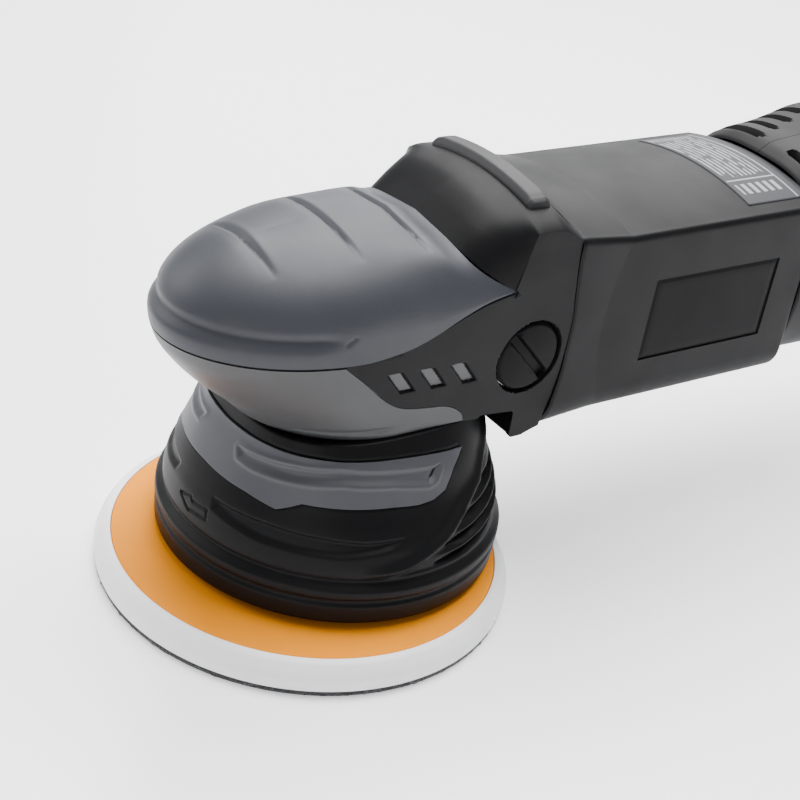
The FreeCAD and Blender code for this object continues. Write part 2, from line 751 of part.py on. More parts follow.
def badge_block(gap):
    half = badge_length / 2 + gap
    return block(housing_half_width - 0.8 - gap, housing_half_width + 0.02 + gap * 9,
                 badge_y - half, badge_y + half,
                 badge_z - badge_height / 2 - gap, badge_z + badge_height / 2 + gap)


# ---------------------------------------------------------------- motor
def make_armature():
    tail = rear_bearing_front + rear_bearing[2] + 1.0
    shaft = fused(rod_y(3.0, gear_pitch * (1 - tooth_face) - 1.0, case_rear - 24),
                  rod_y(shaft_radius, case_rear - 24, rear_bearing_front - 1),
                  rod_y(rear_bearing[0], rear_bearing_front - 1, tail))
    save("armature_shaft", shaft)

    core = rod_y(core_radius, core_front, core_front + core_length)
    core = core.cut(rod_y(shaft_radius + fit, 0, 200))
    slot = block(-1.0, 1.0, core_front - 1, core_front + core_length + 1,
                 motor_z + core_radius - 5, motor_z + core_radius + 2)
    for index in range(12):
        cutter = slot.copy()
        cutter.rotate(V(0, 0, motor_z), V(0, 1, 0), 30 * index)
        core = core.cut(cutter)
    save("armature_core", core)

    turns = []
    for y in (core_front - 8, core_front + core_length + fit):
        coil = rod_y(15.0, y, y + 8 - fit).cut(rod_y(shaft_radius + fit, 0, 200))
        edges = [e for e in coil.Edges if e.Closed and abs(e.BoundBox.XMax - 15.0) < 0.1]
        turns.append(coil.makeFillet(2.5, edges))
    save("armature_windings", *turns)

    rear = commutator_front + commutator_length
    drum = rod_y(commutator_radius, commutator_front, rear)
    drum = fused(drum, rod_y(commutator_radius + 1.5, commutator_front, commutator_front + 2))
    save("commutator", drum.cut(rod_y(shaft_radius + fit, 0, 200)))

    fan = fused(rod_y(10.0, fan_front, fan_front + fan_width),
                rod_y(fan_radius, fan_front + fan_width - 1.5, fan_front + fan_width))
    blade = block(-0.7, 0.7, fan_front + 0.5, fan_front + fan_width - 1, motor_z + 9, motor_z + fan_radius)
    blades = []
    for index in range(13):
        copy = blade.copy()
        copy.rotate(V(0, 0, motor_z + 9), V(0, 1, 0), 25)
        copy = copy.common(rod_y(fan_radius, 0, 200))
        copy.rotate(V(0, 0, motor_z), V(0, 1, 0), 360 * index / 13)
        blades.append(copy)
    save("cooling_fan", fused(fan, *blades).cut(rod_y(shaft_radius + fit, 0, 200)))


def motor_seat_radius():
    """Largest round piece about the motor's axis that the housing's walls and floor let in."""
    return min(housing_half_width, motor_z - housing_bottom) - wall - 0.1


def make_stator():
    half = motor_seat_radius()
    bore = core_radius + air_gap
    core = rod_y(half, core_front, core_front + core_length).cut(rod_y(bore, 0, 200))
    save("stator_core", core)
    coils = []
    for y in (core_front - 9, core_front + core_length + fit):
        coil = rod_y(half - 4, y, y + 9 - fit).cut(rod_y(bore + 1.5, 0, 200))
        edges = [e for e in coil.Edges if e.Closed and abs(e.BoundBox.XMax - half + 4) < 0.1]
        coils.append(coil.makeFillet(2.5, edges))
    save("field_coils", *coils)
    baffle = rod_y(half, fan_front + fan_width + 1.5, fan_front + fan_width + 4)
    save("air_baffle", baffle.cut(rod_y(fan_radius - 5, 0, 200)))


def make_rear_bracket():
    bore, outside, width = rear_bearing
    half = motor_seat_radius()
    front = commutator_front + commutator_length + 1.0
    bracket = fused(rod_y(half, front, front + 3.5),
                    rod_y(outside + 3.5, front, rear_bearing_front + width + 3))
    bracket = bracket.cut(rod_y(outside + fit, rear_bearing_front, 260))
    bracket = bracket.cut(rod_y(outside - 3, 0, 260))
    for quarter in range(4):
        turn = math.radians(45 + 90 * quarter)
        bracket = bracket.cut(rod_y(6.0, 0, 260, 24 * math.cos(turn), motor_z + 24 * math.sin(turn)))
    save("rear_bracket", bracket)
    ring = bearing_ring(bore + running, outside, width)
    save("motor_bearing_rear", along_y(ring, rear_bearing_front + fit))

    holders = []
    brushes = []
    springs = []
    y0 = commutator_front + 4
    start = commutator_radius + 1.5
    for side in (0, 1):
        tube = block(start + 1, start + 19, y0 - 1.5, y0 + 8.5, motor_z - 5, motor_z + 5)
        foot = block(start + 11, start + 19, y0 + 8, front - fit, motor_z - 5, motor_z + 5)
        tunnel = block(start, start + 17.5, y0, y0 + 7, motor_z - 3.5, motor_z + 3.5)
        holders.append(both(fused(tube, foot).cut(tunnel))[side])
        brush = block(commutator_radius + 0.3, start + 9, y0 + 0.1, y0 + 6.9, motor_z - 3.4, motor_z + 3.4)
        brushes.append(both(brush)[side])
        coil = rod_x(2.6, start + 9.05, start + 17.4, y0 + 3.5, motor_z)
        coil = coil.cut(rod_x(1.7, start, start + 20, y0 + 3.5, motor_z))
        springs.append(both(coil)[side])
    save("brush_holders", *holders)
    save("carbon_brushes", *brushes)
    save("brush_springs", *springs)


# ---------------------------------------------------------------- rear handle
def handle_levels():
    """Distance back, top, bottom and half-width along the handle."""
    half = housing_half_width
    return [(housing_rear + seam, housing_apex + 1.5, housing_bottom, half + 0.5),
            (205.0, housing_apex + 6.2, housing_bottom, half + 1.3),
            (228.0, housing_apex + 11.5, 64.0, half + 2.3), (250.0, housing_apex + 10, 72.0, half - 2),
            (275.0, housing_apex, 76.0, grip_half_width + 1.5), (300.0, 131.0, 76.0, grip_half_width),
            (320.0, 125.0, 75.0, grip_half_width - 1),
            (handle_end - 2, 120.0, 78.0, grip_half_width - 5),
            (handle_end, 116.0, 83.0, grip_half_width - 10)]


def handle_body(inset, reach=0.0):
    wires = []
    levels = handle_levels()
    for index, (y, top, bottom, half) in enumerate(levels):
        if index == 0:
            y -= reach
        if index == len(levels) - 1:
            y -= inset
        if index == len(levels) - 2:
            y -= inset * 0.8
        centre = (top + bottom) / 2
        height = (top - bottom) / 2 - inset
        points = []
        for step in range(28):
            turn = 2 * math.pi * step / 28
            c = math.cos(turn)
            s = math.sin(turn)
            x = math.copysign((half - inset) * abs(c) ** 0.62, c)
            z = math.copysign(height * abs(s) ** 0.62, s)
            points.append(V(x, y, centre + z))
        curve = Part.BSplineCurve()
        curve.interpolate(points, True)
        wires.append(Part.Wire([curve.toShape()]))
    return Part.makeLoft(wires, True, True)


def trigger_cutter():
    """Mouth of the trigger in the handle's underside, with air round the paddle's swing."""
    half = trigger_half_width + free
    rear = trigger_front + trigger_length
    return block(-half, half, trigger_front - 4.0, rear + 1.5, 50, 86)


def make_handle():
    body = handle_body(0)
    cavity = handle_body(wall, reach=1.0)
    shell = body.cut(cavity)
    additions = []
    for y, z in handle_screw_seats:
        additions.append(rod_x(5.0, -60, 60, y, z).common(body))
    # ribs that hold the switch, the board and the trigger's pin
    switch_rib = block(switch_half_width + 0.1, 60, switch_rear - 14, switch_rear - 10, 92, 104).common(body)
    board_rib = block(14.1, 60, 292, 296, 100, 110).common(body)
    pin_rib = block(trigger_half_width + free + 0.3, 60, trigger_front - 3, trigger_front + 3, 74, 82)
    pin_rib = pin_rib.common(body)
    for rib in (switch_rib, board_rib, pin_rib):
        additions += both(rib)
    # collar that holds the gland
    additions.append(rod_y(gland_radius + 3, handle_end - 14, handle_end - 1, 0, motor_z).common(body))
    shell = joined(shell, *additions)
    shell = shell.cut(rod_y(gland_radius - 2 + fit, handle_end - 20, handle_end + 5, 0, motor_z))
    shell = shell.cut(trigger_cutter())
    shell = shell.cut(rod_x(2.0 + fit, -13.5, 13.5, trigger_front, 78.0))
    dial_room = dial_half_width + free
    shell = shell.cut(rod_x(dial_radius + 0.6, -dial_room, dial_room, dial_y, dial_z))
    shell = shell.cut(rod_x(lock_radius + 0.1, 20, 60, lock_y, lock_z))
    for y, z in handle_screw_seats:
        shell = shell.cut(rod_x(handle_screw_radius + fit, -14, 14, y, z))
        shell = shell.cut(rod_x(4.0, -60, -14 + 0.01, y, z))
    # four air slots across the top of each half
    for step in range(4):
        y = housing_rear + 5.5 + 10.0 * step
        for slot in both(block(6.0 + 2.5 * step, 32.0, y, y + 4, motor_z + 24, 160)):
            shell = shell.cut(slot)
    cut_gap = seam / 2
    left = shell.common(block(cut_gap, 80, 150, 360, 40, 170))
    right = shell.common(block(-80, -cut_gap, 150, 360, 40, 170))
    save("handle_left", max(left.Solids, key=lambda s: s.Volume))
    save("handle_right", max(right.Solids, key=lambda s: s.Volume))

    screws = []
    for y, z in handle_screw_seats:
        screws.append(fused(rod_x(handle_screw_radius, -14 - fit, 13, y, z),
                            rod_x(3.8, -16.5, -14 - fit, y, z)))
    save("handle_screws", *screws)


def make_controls():
    front = trigger_front
    rear = front + trigger_length
    half = trigger_half_width
    paddle = side_prism(half, (front - 3.2, 78.0), ((front - 2.3, 75.7), (front, 73.5)),
                        ((front + 20, 66.5), (front + 40, 68.0)), (rear - 6, 70.5),
                        ((rear - 1.5, 72.0), (rear, 76.0)), (rear, 79.0), (front + 8, 80.5), (front, 81.2))
    save("trigger", paddle.cut(rod_x(2.0 + running, -20, 20, front, 78.0)))
    save("trigger_pin", rod_x(2.0, -13.4, 13.4, front, 78.0))

    body = block(-switch_half_width, switch_half_width, switch_front, switch_rear, 91, 112)
    nose = rod_z(3.0, 87.5, 92, 0, (switch_front + switch_rear) / 2)
    guide = rod_x(lock_radius + 2, switch_half_width - 1, lock_guide_end, lock_y, lock_z)
    save("switch_body", fused(body, nose, guide))

    inner = lock_guide_end + lock_travel + 0.3
    cap = rod_x(lock_radius, inner, lock_face() + 2.8, lock_y, lock_z)
    edges = [e for e in cap.Edges if e.Closed and e.BoundBox.XMin > lock_face()]
    flange = rod_x(lock_radius + 1.5, inner, inner + 3.0, lock_y, lock_z)
    save("lock_button", fused(cap.makeFillet(1.2, edges), flange))

    wheel = rod_x(dial_radius, -dial_half_width, dial_half_width, dial_y, dial_z)
    wheel = wheel.cut(rod_x(1.5 + running, -20, 20, dial_y, dial_z))
    for index in range(24):
        turn = 2 * math.pi * index / 24
        rib = rod_x(0.7, -20, 20, dial_y + (dial_radius + 0.2) * math.cos(turn),
                    dial_z + (dial_radius + 0.2) * math.sin(turn))
        wheel = wheel.cut(rib)
    save("speed_dial", wheel)
    save("dial_axle", rod_x(1.5, -8.0, 8.0, dial_y, dial_z))

    board = block(-14, 14, 284.5, 316, 101.0, 102.6)
    ears = []
    for ear in both(block(dial_half_width + free, 7.5, dial_y - 3, dial_y + 3, 102.0, dial_z + 3)):
        ears.append(ear.cut(rod_x(1.5 + fit, -20, 20, dial_y, dial_z)))
    sink = block(-12, 12, 289, 299, 102.5, 103.8)
    save("control_board", fused(board, sink, *ears))

    gland_end = handle_end + gland_length
    neck = gland_radius - 2
    boot = fused(rod_y(gland_radius, handle_end + fit, handle_end + 6, 0, motor_z),
                 rod_y(neck, handle_end - 12, gland_end - 8, 0, motor_z),
                 Part.makeCone(neck, neck - 1.2, 8, V(0, gland_end - 8, motor_z), V(0, 1, 0)))
    save("cord_gland", boot.cut(rod_y(cord_bore, handle_end - 20, gland_end + 1, 0, motor_z)))


def lock_face():
    """How far out the handle's side stands at the lock button."""
    levels = handle_levels()
    for (y0, t0, b0, half0), (y1, t1, b1, half1) in zip(levels, levels[1:]):
        if y0 <= lock_y <= y1:
            return half0 + (half1 - half0) * (lock_y - y0) / (y1 - y0)
    return levels[-1][3]


# ---------------------------------------------------------------- build
os.makedirs("parts", exist_ok=True)
make_backing_plate()
make_pad_spindle()
make_counterweight()
make_drive_spindle()
make_gears()
make_spindle_bearings()
make_bearing_plate()
make_gear_case()
make_shroud()
make_upper_cover()
make_lower_cover()
make_head_shell()
make_ridge_pad()
make_side_plugs()
make_motor_housing()
make_armature()
make_stator()
make_rear_bracket()
make_handle()
make_controls()
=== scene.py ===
import json
import math
import bmesh
import bpy
import numpy as np
from mathutils import Matrix, Vector


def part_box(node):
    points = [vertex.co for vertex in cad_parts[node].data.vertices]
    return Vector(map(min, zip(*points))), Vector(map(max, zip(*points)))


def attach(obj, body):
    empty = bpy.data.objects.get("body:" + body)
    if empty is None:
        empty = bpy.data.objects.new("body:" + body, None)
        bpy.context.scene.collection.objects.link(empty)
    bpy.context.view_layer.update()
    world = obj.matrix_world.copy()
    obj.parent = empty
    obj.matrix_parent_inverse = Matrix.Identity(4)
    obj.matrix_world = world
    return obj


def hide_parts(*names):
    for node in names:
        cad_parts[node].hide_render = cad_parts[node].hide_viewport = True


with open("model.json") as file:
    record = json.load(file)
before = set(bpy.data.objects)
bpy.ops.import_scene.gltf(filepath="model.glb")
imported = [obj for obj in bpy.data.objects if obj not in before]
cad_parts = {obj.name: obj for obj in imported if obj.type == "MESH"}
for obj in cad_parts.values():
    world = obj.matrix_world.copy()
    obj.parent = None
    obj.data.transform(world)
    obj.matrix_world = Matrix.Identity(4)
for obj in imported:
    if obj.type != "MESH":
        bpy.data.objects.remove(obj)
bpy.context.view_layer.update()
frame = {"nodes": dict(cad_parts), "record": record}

MM = 0.001


# ---------------------------------------------------------------- curves and masks, in millimetres
def smooth_line(points):
    """Smooth curve through (x, y) points that doesn't overshoot them."""
    xs, ys = (np.array(v, float) for v in zip(*points))
    gap = np.diff(xs)
    rise = np.diff(ys) / gap
    slope = np.zeros(len(xs))
    slope[0] = rise[0]
    slope[-1] = rise[-1]
    for i in range(1, len(xs) - 1):
        if rise[i - 1] * rise[i] > 0:
            slope[i] = 2 * rise[i - 1] * rise[i] / (rise[i - 1] + rise[i])

    def value(x):
        x = np.clip(x, xs[0], xs[-1])
        i = np.clip(np.searchsorted(xs, x) - 1, 0, len(xs) - 2)
        t = (x - xs[i]) / gap[i]
        near = (2 * t ** 3 - 3 * t ** 2 + 1) * ys[i] + (t ** 3 - 2 * t ** 2 + t) * gap[i] * slope[i]
        return near + (3 * t ** 2 - 2 * t ** 3) * ys[i + 1] + (t ** 3 - t ** 2) * gap[i] * slope[i + 1]

    return value


def ease(low, high, x):
    t = np.clip((x - low) / (high - low), 0, 1)
    return t * t * (3 - 2 * t)


def hump(x, width):
    return np.exp(-(x / width) ** 2)


def mix(a, b, t):
    return a + (b - a) * t


def distance_to_line(u, v, points, closed=False):
    """Distance from (u, v) to a polyline."""
    best = np.full(np.shape(u), 1e9)
    ends = points[1:] + (points[:1] if closed else [])
    for (u0, v0), (u1, v1) in zip(points, ends):
        length = (u1 - u0) ** 2 + (v1 - v0) ** 2
        t = np.clip(((u - u0) * (u1 - u0) + (v - v0) * (v1 - v0)) / length, 0, 1)
        best = np.minimum(best, np.hypot(u - u0 - t * (u1 - u0), v - v0 - t * (v1 - v0)))
    return best


def depth_inside(u, v, points):
    """Distance to a polygon's edge, positive inside it."""
    inside = np.zeros(np.shape(u), bool)
    for (u0, v0), (u1, v1) in zip(points, points[1:] + points[:1]):
        crosses = (v0 > v) != (v1 > v)
        at = u0 + (v - v0) * (u1 - u0) / ((v1 - v0) if v1 != v0 else 1e-9)
        inside ^= crosses & (u < at)
    gap = distance_to_line(u, v, points, closed=True)
    return np.where(inside, gap, -gap)


def pocket(u, v, points, edge=0.5, corner=0.0):
    """1 inside a polygon, 0 outside, with a soft edge; corner rounds its corners."""
    return ease(corner - edge, corner + edge, depth_inside(u, v, points))


def even(start, end, step):
    return np.linspace(start, end, max(2, int(round(abs(end - start) / step)) + 1))


def with_edges(values, edges, gap=0.15):
    """Adds a close pair of lines at each edge, so that a step there is crisp."""
    values = list(values)
    low, high = min(values), max(values)
    for edge in edges:
        values = [v for v in values if abs(v - edge) > 3 * gap]
        values += [e for e in (edge - gap, edge + gap) if low < e < high]
    return np.array(sorted(values))


# ---------------------------------------------------------------- meshes
def new_piece(name, points, faces):
    mesh = bpy.data.meshes.new(name)
    mesh.from_pydata((np.asarray(points) * MM).tolist(), [], faces)
    mesh.shade_smooth()
    piece = bpy.data.objects.new(name, mesh)
    bpy.context.scene.collection.objects.link(piece)
    return piece


def grid_faces(rows, columns, wrap_rows=False, wrap_columns=False):
    i, j = np.meshgrid(np.arange(rows - (not wrap_rows)), np.arange(columns - (not wrap_columns)),
                       indexing="ij")
    i = i.ravel()
    j = j.ravel()
    i2 = (i + 1) % rows
    j2 = (j + 1) % columns
    return np.stack([i * columns + j, i2 * columns + j, i2 * columns + j2, i * columns + j2], 1)


def facing(points, faces, centre):
    """Turns the faces outward from a centre."""
    corner = points[faces]
    normal = np.cross(corner[:, 2] - corner[:, 0], corner[:, 3] - corner[:, 1])
    if (normal * (corner.mean(1) - centre)).sum() < 0:
        return faces[:, ::-1]
    return faces


def skin(name, grid, centre=None, wrap_rows=False, wrap_columns=False):
    """Open surface from a grid of points, facing away from a centre."""
    rows, columns = grid.shape[:2]
    points = grid.reshape(-1, 3)
    faces = grid_faces(rows, columns, wrap_rows, wrap_columns)
    if centre is None:
        centre = (points.min(0) + points.max(0)) / 2
    faces = facing(points, faces, np.array(centre, float))
    return new_piece(name, points, faces.tolist())


def join(name, *pieces):
    """Joins pieces into one and welds the points that they share."""
    bpy.ops.object.select_all(action="DESELECT")
    for piece in pieces:
        piece.select_set(True)
    bpy.context.view_layer.objects.active = pieces[0]
    bpy.ops.object.join()
    weld(pieces[0])
    pieces[0].name = name
    pieces[0].data.name = name
    return pieces[0]


def edit_mesh(piece, change):
    mesh = bmesh.new()
    mesh.from_mesh(piece.data)
    change(mesh)
    mesh.to_mesh(piece.data)
    mesh.free()
    piece.data.shade_smooth()


def weld(piece, reach=0.02):
    """Joins points closer than the reach."""
    def change(mesh):
        bmesh.ops.remove_doubles(mesh, verts=mesh.verts, dist=reach * MM)
        bmesh.ops.dissolve_degenerate(mesh, edges=mesh.edges, dist=0.002 * MM)

    edit_mesh(piece, change)


def fix_closed(piece):
    """Turns a closed mesh's faces outward."""
    edit_mesh(piece, lambda mesh: bmesh.ops.recalc_face_normals(mesh, faces=mesh.faces))


def wall(piece, thickness):
    made = piece.modifiers.new("wall", "SOLIDIFY")
    made.thickness = thickness * MM
    made.offset = -1
    made.use_even_offset = False
    made.use_rim = True


def soften(piece, width, segments=2, angle=42):
    made = piece.modifiers.new("edges", "BEVEL")
    made.width = width * MM
    made.segments = segments
    made.limit_method = "ANGLE"
    made.angle_limit = math.radians(angle)
    made.use_clamp_overlap = True
    even_out = piece.modifiers.new("normals", "WEIGHTED_NORMAL")
    even_out.keep_sharp = True


def closed_sweep(name, rings):
    """Closed solid from a row of rings, with fan caps."""
    count, around = rings.shape[:2]
    points = rings.reshape(-1, 3)
    faces = grid_faces(count, around, wrap_columns=True)
    outward = facing(points, faces, points.mean(0))
    flip = not np.array_equal(outward, faces)
    first = list(range(around))
    last = [(count - 1) * around + k for k in range(around)]
    caps = [first if not flip else first[::-1], last[::-1] if not flip else last]
    return new_piece(name, points, outward.tolist() + caps)


def turned(profile, axis="z", at=(0, 0, 0), around=160):
    """Surface of revolution from (radius, height) points; a closed profile makes a closed ring."""
    angle = np.linspace(0, 2 * math.pi, around, endpoint=False)
    r = np.array([p[0] for p in profile])[:, None]
    h = np.array([p[1] for p in profile])[:, None] + 0 * angle
    a = r * np.cos(angle)
    b = r * np.sin(angle)
    order = {"z": (a, b, h), "y": (a, h, b), "x": (h, a, b)}[axis]
    grid = np.stack(order, -1) + np.array(at, float)
    return grid


def round_profile(points, radius, steps=5):
    """A closed outline with its corners rounded by arcs."""
    made = []
    count = len(points)
    for i in range(count):
        here = np.array(points[i], float)
        before = np.array(points[i - 1], float) - here
        after = np.array(points[(i + 1) % count], float) - here
        r = radius[i] if isinstance(radius, (list, tuple)) else radius
        reach = min(r, 0.45 * np.linalg.norm(before), 0.45 * np.linalg.norm(after))
        a = here + before / np.linalg.norm(before) * reach
        b = here + after / np.linalg.norm(after) * reach
        for t in np.linspace(0, 1, steps):
            made.append(tuple((1 - t) ** 2 * a + 2 * t * (1 - t) * here + t ** 2 * b))
    return made


def dress(piece, body, material, slot, *replaced):
    for one in material if isinstance(material, (list, tuple)) else [material]:
        piece.data.materials.append(one)
    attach(piece, body)
    if replaced:
        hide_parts(*replaced)
    return piece


# ---------------------------------------------------------------- materials
def shader(name, colour, rough, metal=0.0, **sockets):
    made = bpy.data.materials.new(name)
    made.use_nodes = True
    nodes = made.node_tree.nodes
    surface = nodes["Principled BSDF"]
    surface.inputs["Base Color"].default_value = (*colour, 1)
    surface.inputs["Roughness"].default_value = rough
    surface.inputs["Metallic"].default_value = metal
    for key, value in sockets.items():
        surface.inputs[key.replace("_", " ")].default_value = value
    return made, nodes, made.node_tree.links, surface


def noise(nodes, links, scale, detail=4.0, stretch=None, kind="ShaderNodeTexNoise"):
    place = nodes.new("ShaderNodeTexCoord")
    texture = nodes.new(kind)
    texture.inputs["Scale"].default_value = scale
    if "Detail" in texture.inputs:
        texture.inputs["Detail"].default_value = detail
    if stretch:
        mapping = nodes.new("ShaderNodeMapping")
        mapping.inputs["Scale"].default_value = stretch
        links.new(place.outputs["Object"], mapping.inputs["Vector"])
        links.new(mapping.outputs["Vector"], texture.inputs["Vector"])
    else:
        links.new(place.outputs["Object"], texture.inputs["Vector"])
    return texture


def ramp(nodes, links, source, stops):
    made = nodes.new("ShaderNodeValToRGB")
    bar = made.color_ramp
    while len(bar.elements) < len(stops):
        bar.elements.new(0.5)
    for element, (place, colour) in zip(bar.elements, stops):
        element.position = place
        element.color = (*colour, 1) if isinstance(colour, (tuple, list)) else (colour, colour, colour, 1)
    links.new(source, made.inputs["Fac"])
    return made.outputs["Color"]


def tinted(colour, share):
    return tuple(min(1.0, c * share) for c in colour)


def vary_colour(nodes, links, surface, colour, scale, low, high):
    cloud = noise(nodes, links, scale, 5.0)
    shade = ramp(nodes, links, cloud.outputs["Fac"], [(0.3, tinted(colour, low)),
                                                      (0.7, tinted(colour, high))])
    links.new(shade, surface.inputs["Base Color"])
    return shade


def vary_rough(nodes, links, surface, scale, low, high):
    cloud = noise(nodes, links, scale, 4.0)
    links.new(ramp(nodes, links, cloud.outputs["Fac"], [(0.3, low), (0.7, high)]),
              surface.inputs["Roughness"])


def grain(nodes, links, surface, scale, strength, distance=0.0001, kind="ShaderNodeTexNoise", stretch=None):
    texture = noise(nodes, links, scale, 3.0, stretch, kind)
    out = "Distance" if kind == "ShaderNodeTexVoronoi" else "Fac"
    bump = nodes.new("ShaderNodeBump")
    bump.inputs["Strength"].default_value = strength
    bump.inputs["Distance"].default_value = distance
    links.new(texture.outputs[out], bump.inputs["Height"])
    links.new(bump.outputs["Normal"], surface.inputs["Normal"])


def moulded(name, colour, rough, pebble=1400, strength=0.25, sheen=0.0, shine=0.5):
    """Moulded plastic or rubber with a fine spark-eroded grain."""
    made, nodes, links, surface = shader(name, colour, rough, Sheen_Weight=sheen, Specular_IOR_Level=shine)
    surface.inputs["Sheen Roughness"].default_value = 0.4
    vary_colour(nodes, links, surface, colour, 28, 0.92, 1.08)
    vary_rough(nodes, links, surface, 45, rough - 0.04, rough + 0.05)
    grain(nodes, links, surface, pebble, strength, 0.00012)
    return made


def metal(name, colour, rough, stretch=(1, 1, 1), scale=400, strength=0.12):
    made, nodes, links, surface = shader(name, colour, rough, 1.0)
    vary_colour(nodes, links, surface, colour, 60, 0.9, 1.06)
    vary_rough(nodes, links, surface, 90, rough - 0.06, rough + 0.08)
    grain(nodes, links, surface, scale, strength, 0.00008, stretch=stretch)
    return made


def hook_fabric(name):
    """Short hooks of the pad's fastening face."""
    made, nodes, links, surface = shader(name, (0.05, 0.05, 0.053), 0.85, Sheen_Weight=0.25)
    cells = noise(nodes, links, 900, kind="ShaderNodeTexVoronoi")
    tone = [(0.05, (0.16, 0.16, 0.165)), (0.45, (0.035, 0.035, 0.037))]
    links.new(ramp(nodes, links, cells.outputs["Distance"], tone), surface.inputs["Base Color"])
    grain(nodes, links, surface, 900, 0.9, 0.0006, "ShaderNodeTexVoronoi")
    return made


def orange_hub(name):
    """Reinforced orange moulding."""
    colour = (0.82, 0.265, 0.0)
    made, nodes, links, surface = shader(name, colour, 0.5, Specular_IOR_Level=0.06)
    vary_colour(nodes, links, surface, colour, 18, 0.95, 1.05)
    vary_rough(nodes, links, surface, 60, 0.46, 0.56)
    grain(nodes, links, surface, 1100, 0.15, 0.0001)
    return made


def label_print(name, front, rear, half_width):
    """Dark film with generic light bars, a divider and a frame line; it carries no lettering."""
    made, nodes, links, surface = shader(name, (0.05, 0.05, 0.055), 0.48, Specular_IOR_Level=0.16)
    place = nodes.new("ShaderNodeTexCoord")
    split = nodes.new("ShaderNodeSeparateXYZ")
    links.new(place.outputs["Object"], split.inputs["Vector"])

    def calc(kind, a, b=None, c=None):
        node = nodes.new("ShaderNodeMath")
        node.operation = kind
        for index, value in enumerate((a, b, c)):
            if value is None:
                continue
            if isinstance(value, (int, float)):
                node.inputs[index].default_value = value
            else:
                links.new(value, node.inputs[index])
        return node.outputs[0]

    def between(value, low, high):
        middle = (low + high) / 2
        return calc("COMPARE", value, middle, abs(high - low) / 2)

    x = split.outputs["X"]
    y = split.outputs["Y"]
    pitch = 2.3 * MM
    row = calc("FRACT", calc("DIVIDE", calc("SUBTRACT", y, front + 2.6 * MM), pitch))
    lines = between(row, 0.0, 0.42)
    # each bar breaks into pieces of uneven length, from a stretched noise
    dashes = noise(nodes, links, 1.0, 0.0, (190, 434, 0))
    pieces = calc("GREATER_THAN", dashes.outputs["Fac"], 0.40)
    bars = calc("MULTIPLY", lines, pieces)
    field = calc("MULTIPLY", between(x, -half_width + 2 * MM, 14 * MM),
                 between(y, front + 2 * MM, rear - 8 * MM))
    bars = calc("MULTIPLY", bars, field)
    ticks = calc("FRACT", calc("DIVIDE", y, 3.9 * MM))
    tick_field = calc("MULTIPLY", between(x, 19 * MM, 25 * MM), between(y, front + 3 * MM, rear - 8 * MM))
    ticks = calc("MULTIPLY", between(ticks, 0.2, 0.72), tick_field)
    divider = calc("MULTIPLY", between(x, 15.9 * MM, 16.7 * MM), between(y, front + 1.5 * MM, rear - 5 * MM))
    border = calc("MULTIPLY", between(y, rear - 5.4 * MM, rear - 4.6 * MM),
                  between(x, -half_width, half_width - 1 * MM))
    ink = calc("MAXIMUM", calc("MAXIMUM", bars, ticks), calc("MAXIMUM", divider, border))
    blend = nodes.new("ShaderNodeMix")
    blend.data_type = "RGBA"
    blend.inputs[6].default_value = (0.03, 0.03, 0.034, 1)
    blend.inputs[7].default_value = (0.26, 0.27, 0.28, 1)
    links.new(ink, blend.inputs[0])
    links.new(blend.outputs[2], surface.inputs["Base Color"])
    grain(nodes, links, surface, 700, 0.06, 0.00005)
    return made


BLACK = moulded("black_moulded", (0.0042, 0.0042, 0.0047), 0.46, 1500, 0.22, shine=0.12)
BLACK_SOFT = moulded("black_soft_touch", (0.0105, 0.0105, 0.0115), 0.5, 1900, 0.3, sheen=0.02, shine=0.3)
GLOSSY = moulded("black_satin", (0.0035, 0.0035, 0.004), 0.42, 1200, 0.08, shine=0.06)
DEEP = moulded("dark_recess", (0.004, 0.004, 0.004), 0.7, 800, 0.3, shine=0.2)
CROWN = moulded("blue_grey_rubber", (0.033, 0.0355, 0.042), 0.47, 2100, 0.28, sheen=0.02, shine=0.28)
NECK = moulded("neck_grey", (0.040, 0.041, 0.043), 0.46, 1700, 0.2, shine=0.4)
BAND = moulded("band_grey", (0.052, 0.052, 0.060), 0.47, 1900, 0.25, sheen=0.03, shine=0.38)
# inlet plates: their own mid grey, lightened further as painted light to make up for the shade that falls in
# the recessed inlets
VENT_GREY_PAINTED_LIGHT = moulded("vent_plate_grey_painted_light", (0.05, 0.05, 0.052), 0.5, 1500, 0.2)
WHITE = moulded("white_urethane", (0.91, 0.91, 0.90), 0.5, 900, 0.12)
ORANGE = orange_hub("orange_moulding")
HOOKS = hook_fabric("hook_facing")


# ---------------------------------------------------------------- shared sizes, from the frame
def low(node):
    return np.array(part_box(node)[0]) / MM


def high(node):
    return np.array(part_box(node)[1]) / MM


NOSE = low("upper_cover")[1]
RIM = low("upper_cover")[2]
CROWN_TOP = high("upper_cover")[2]
HEAD_HALF = high("upper_cover")[0]
SHELL_HALF = high("head_shell")[0]
SEAM = high("head_shell")[1]
BARREL_END = high("motor_housing")[1]
AXIS = 99.0
BARREL_HALF = high("motor_housing")[0]
BARREL_LOW = low("motor_housing")[2]
BARREL_TOP = high("motor_housing")[2]
GRIP_END = high("handle_left")[1]
SKIRT_RIM = low("shroud")[2]
SKIRT_TOP = high("shroud")[2]
SKIRT_RADIUS = high("shroud")[0]
PLUG = (low("side_plug_left") + high("side_plug_left")) / 2
PLUG_RADIUS = (high("side_plug_left")[2] - low("side_plug_left")[2]) / 2
PAD = (low("hook_disc") + high("hook_disc")) / 2

rim_height = smooth_line([(-80, RIM), (-24, RIM), (-9, RIM + 1.4), (3, RIM + 4.8), (14, RIM + 9.8),
                          (24, RIM + 13.6), (31, RIM + 15.2), (36, RIM + 16)])
SKIRT_EDGE = [(-30.0, 104.0), (-20.0, 95.5), (-11.0, 87.5), (-4.0, 83.6), (4.0, 82.0), (13.0, 81.0),
              (19.0, 78.6), (22.4, 75.4), (23.0, 73.3)]


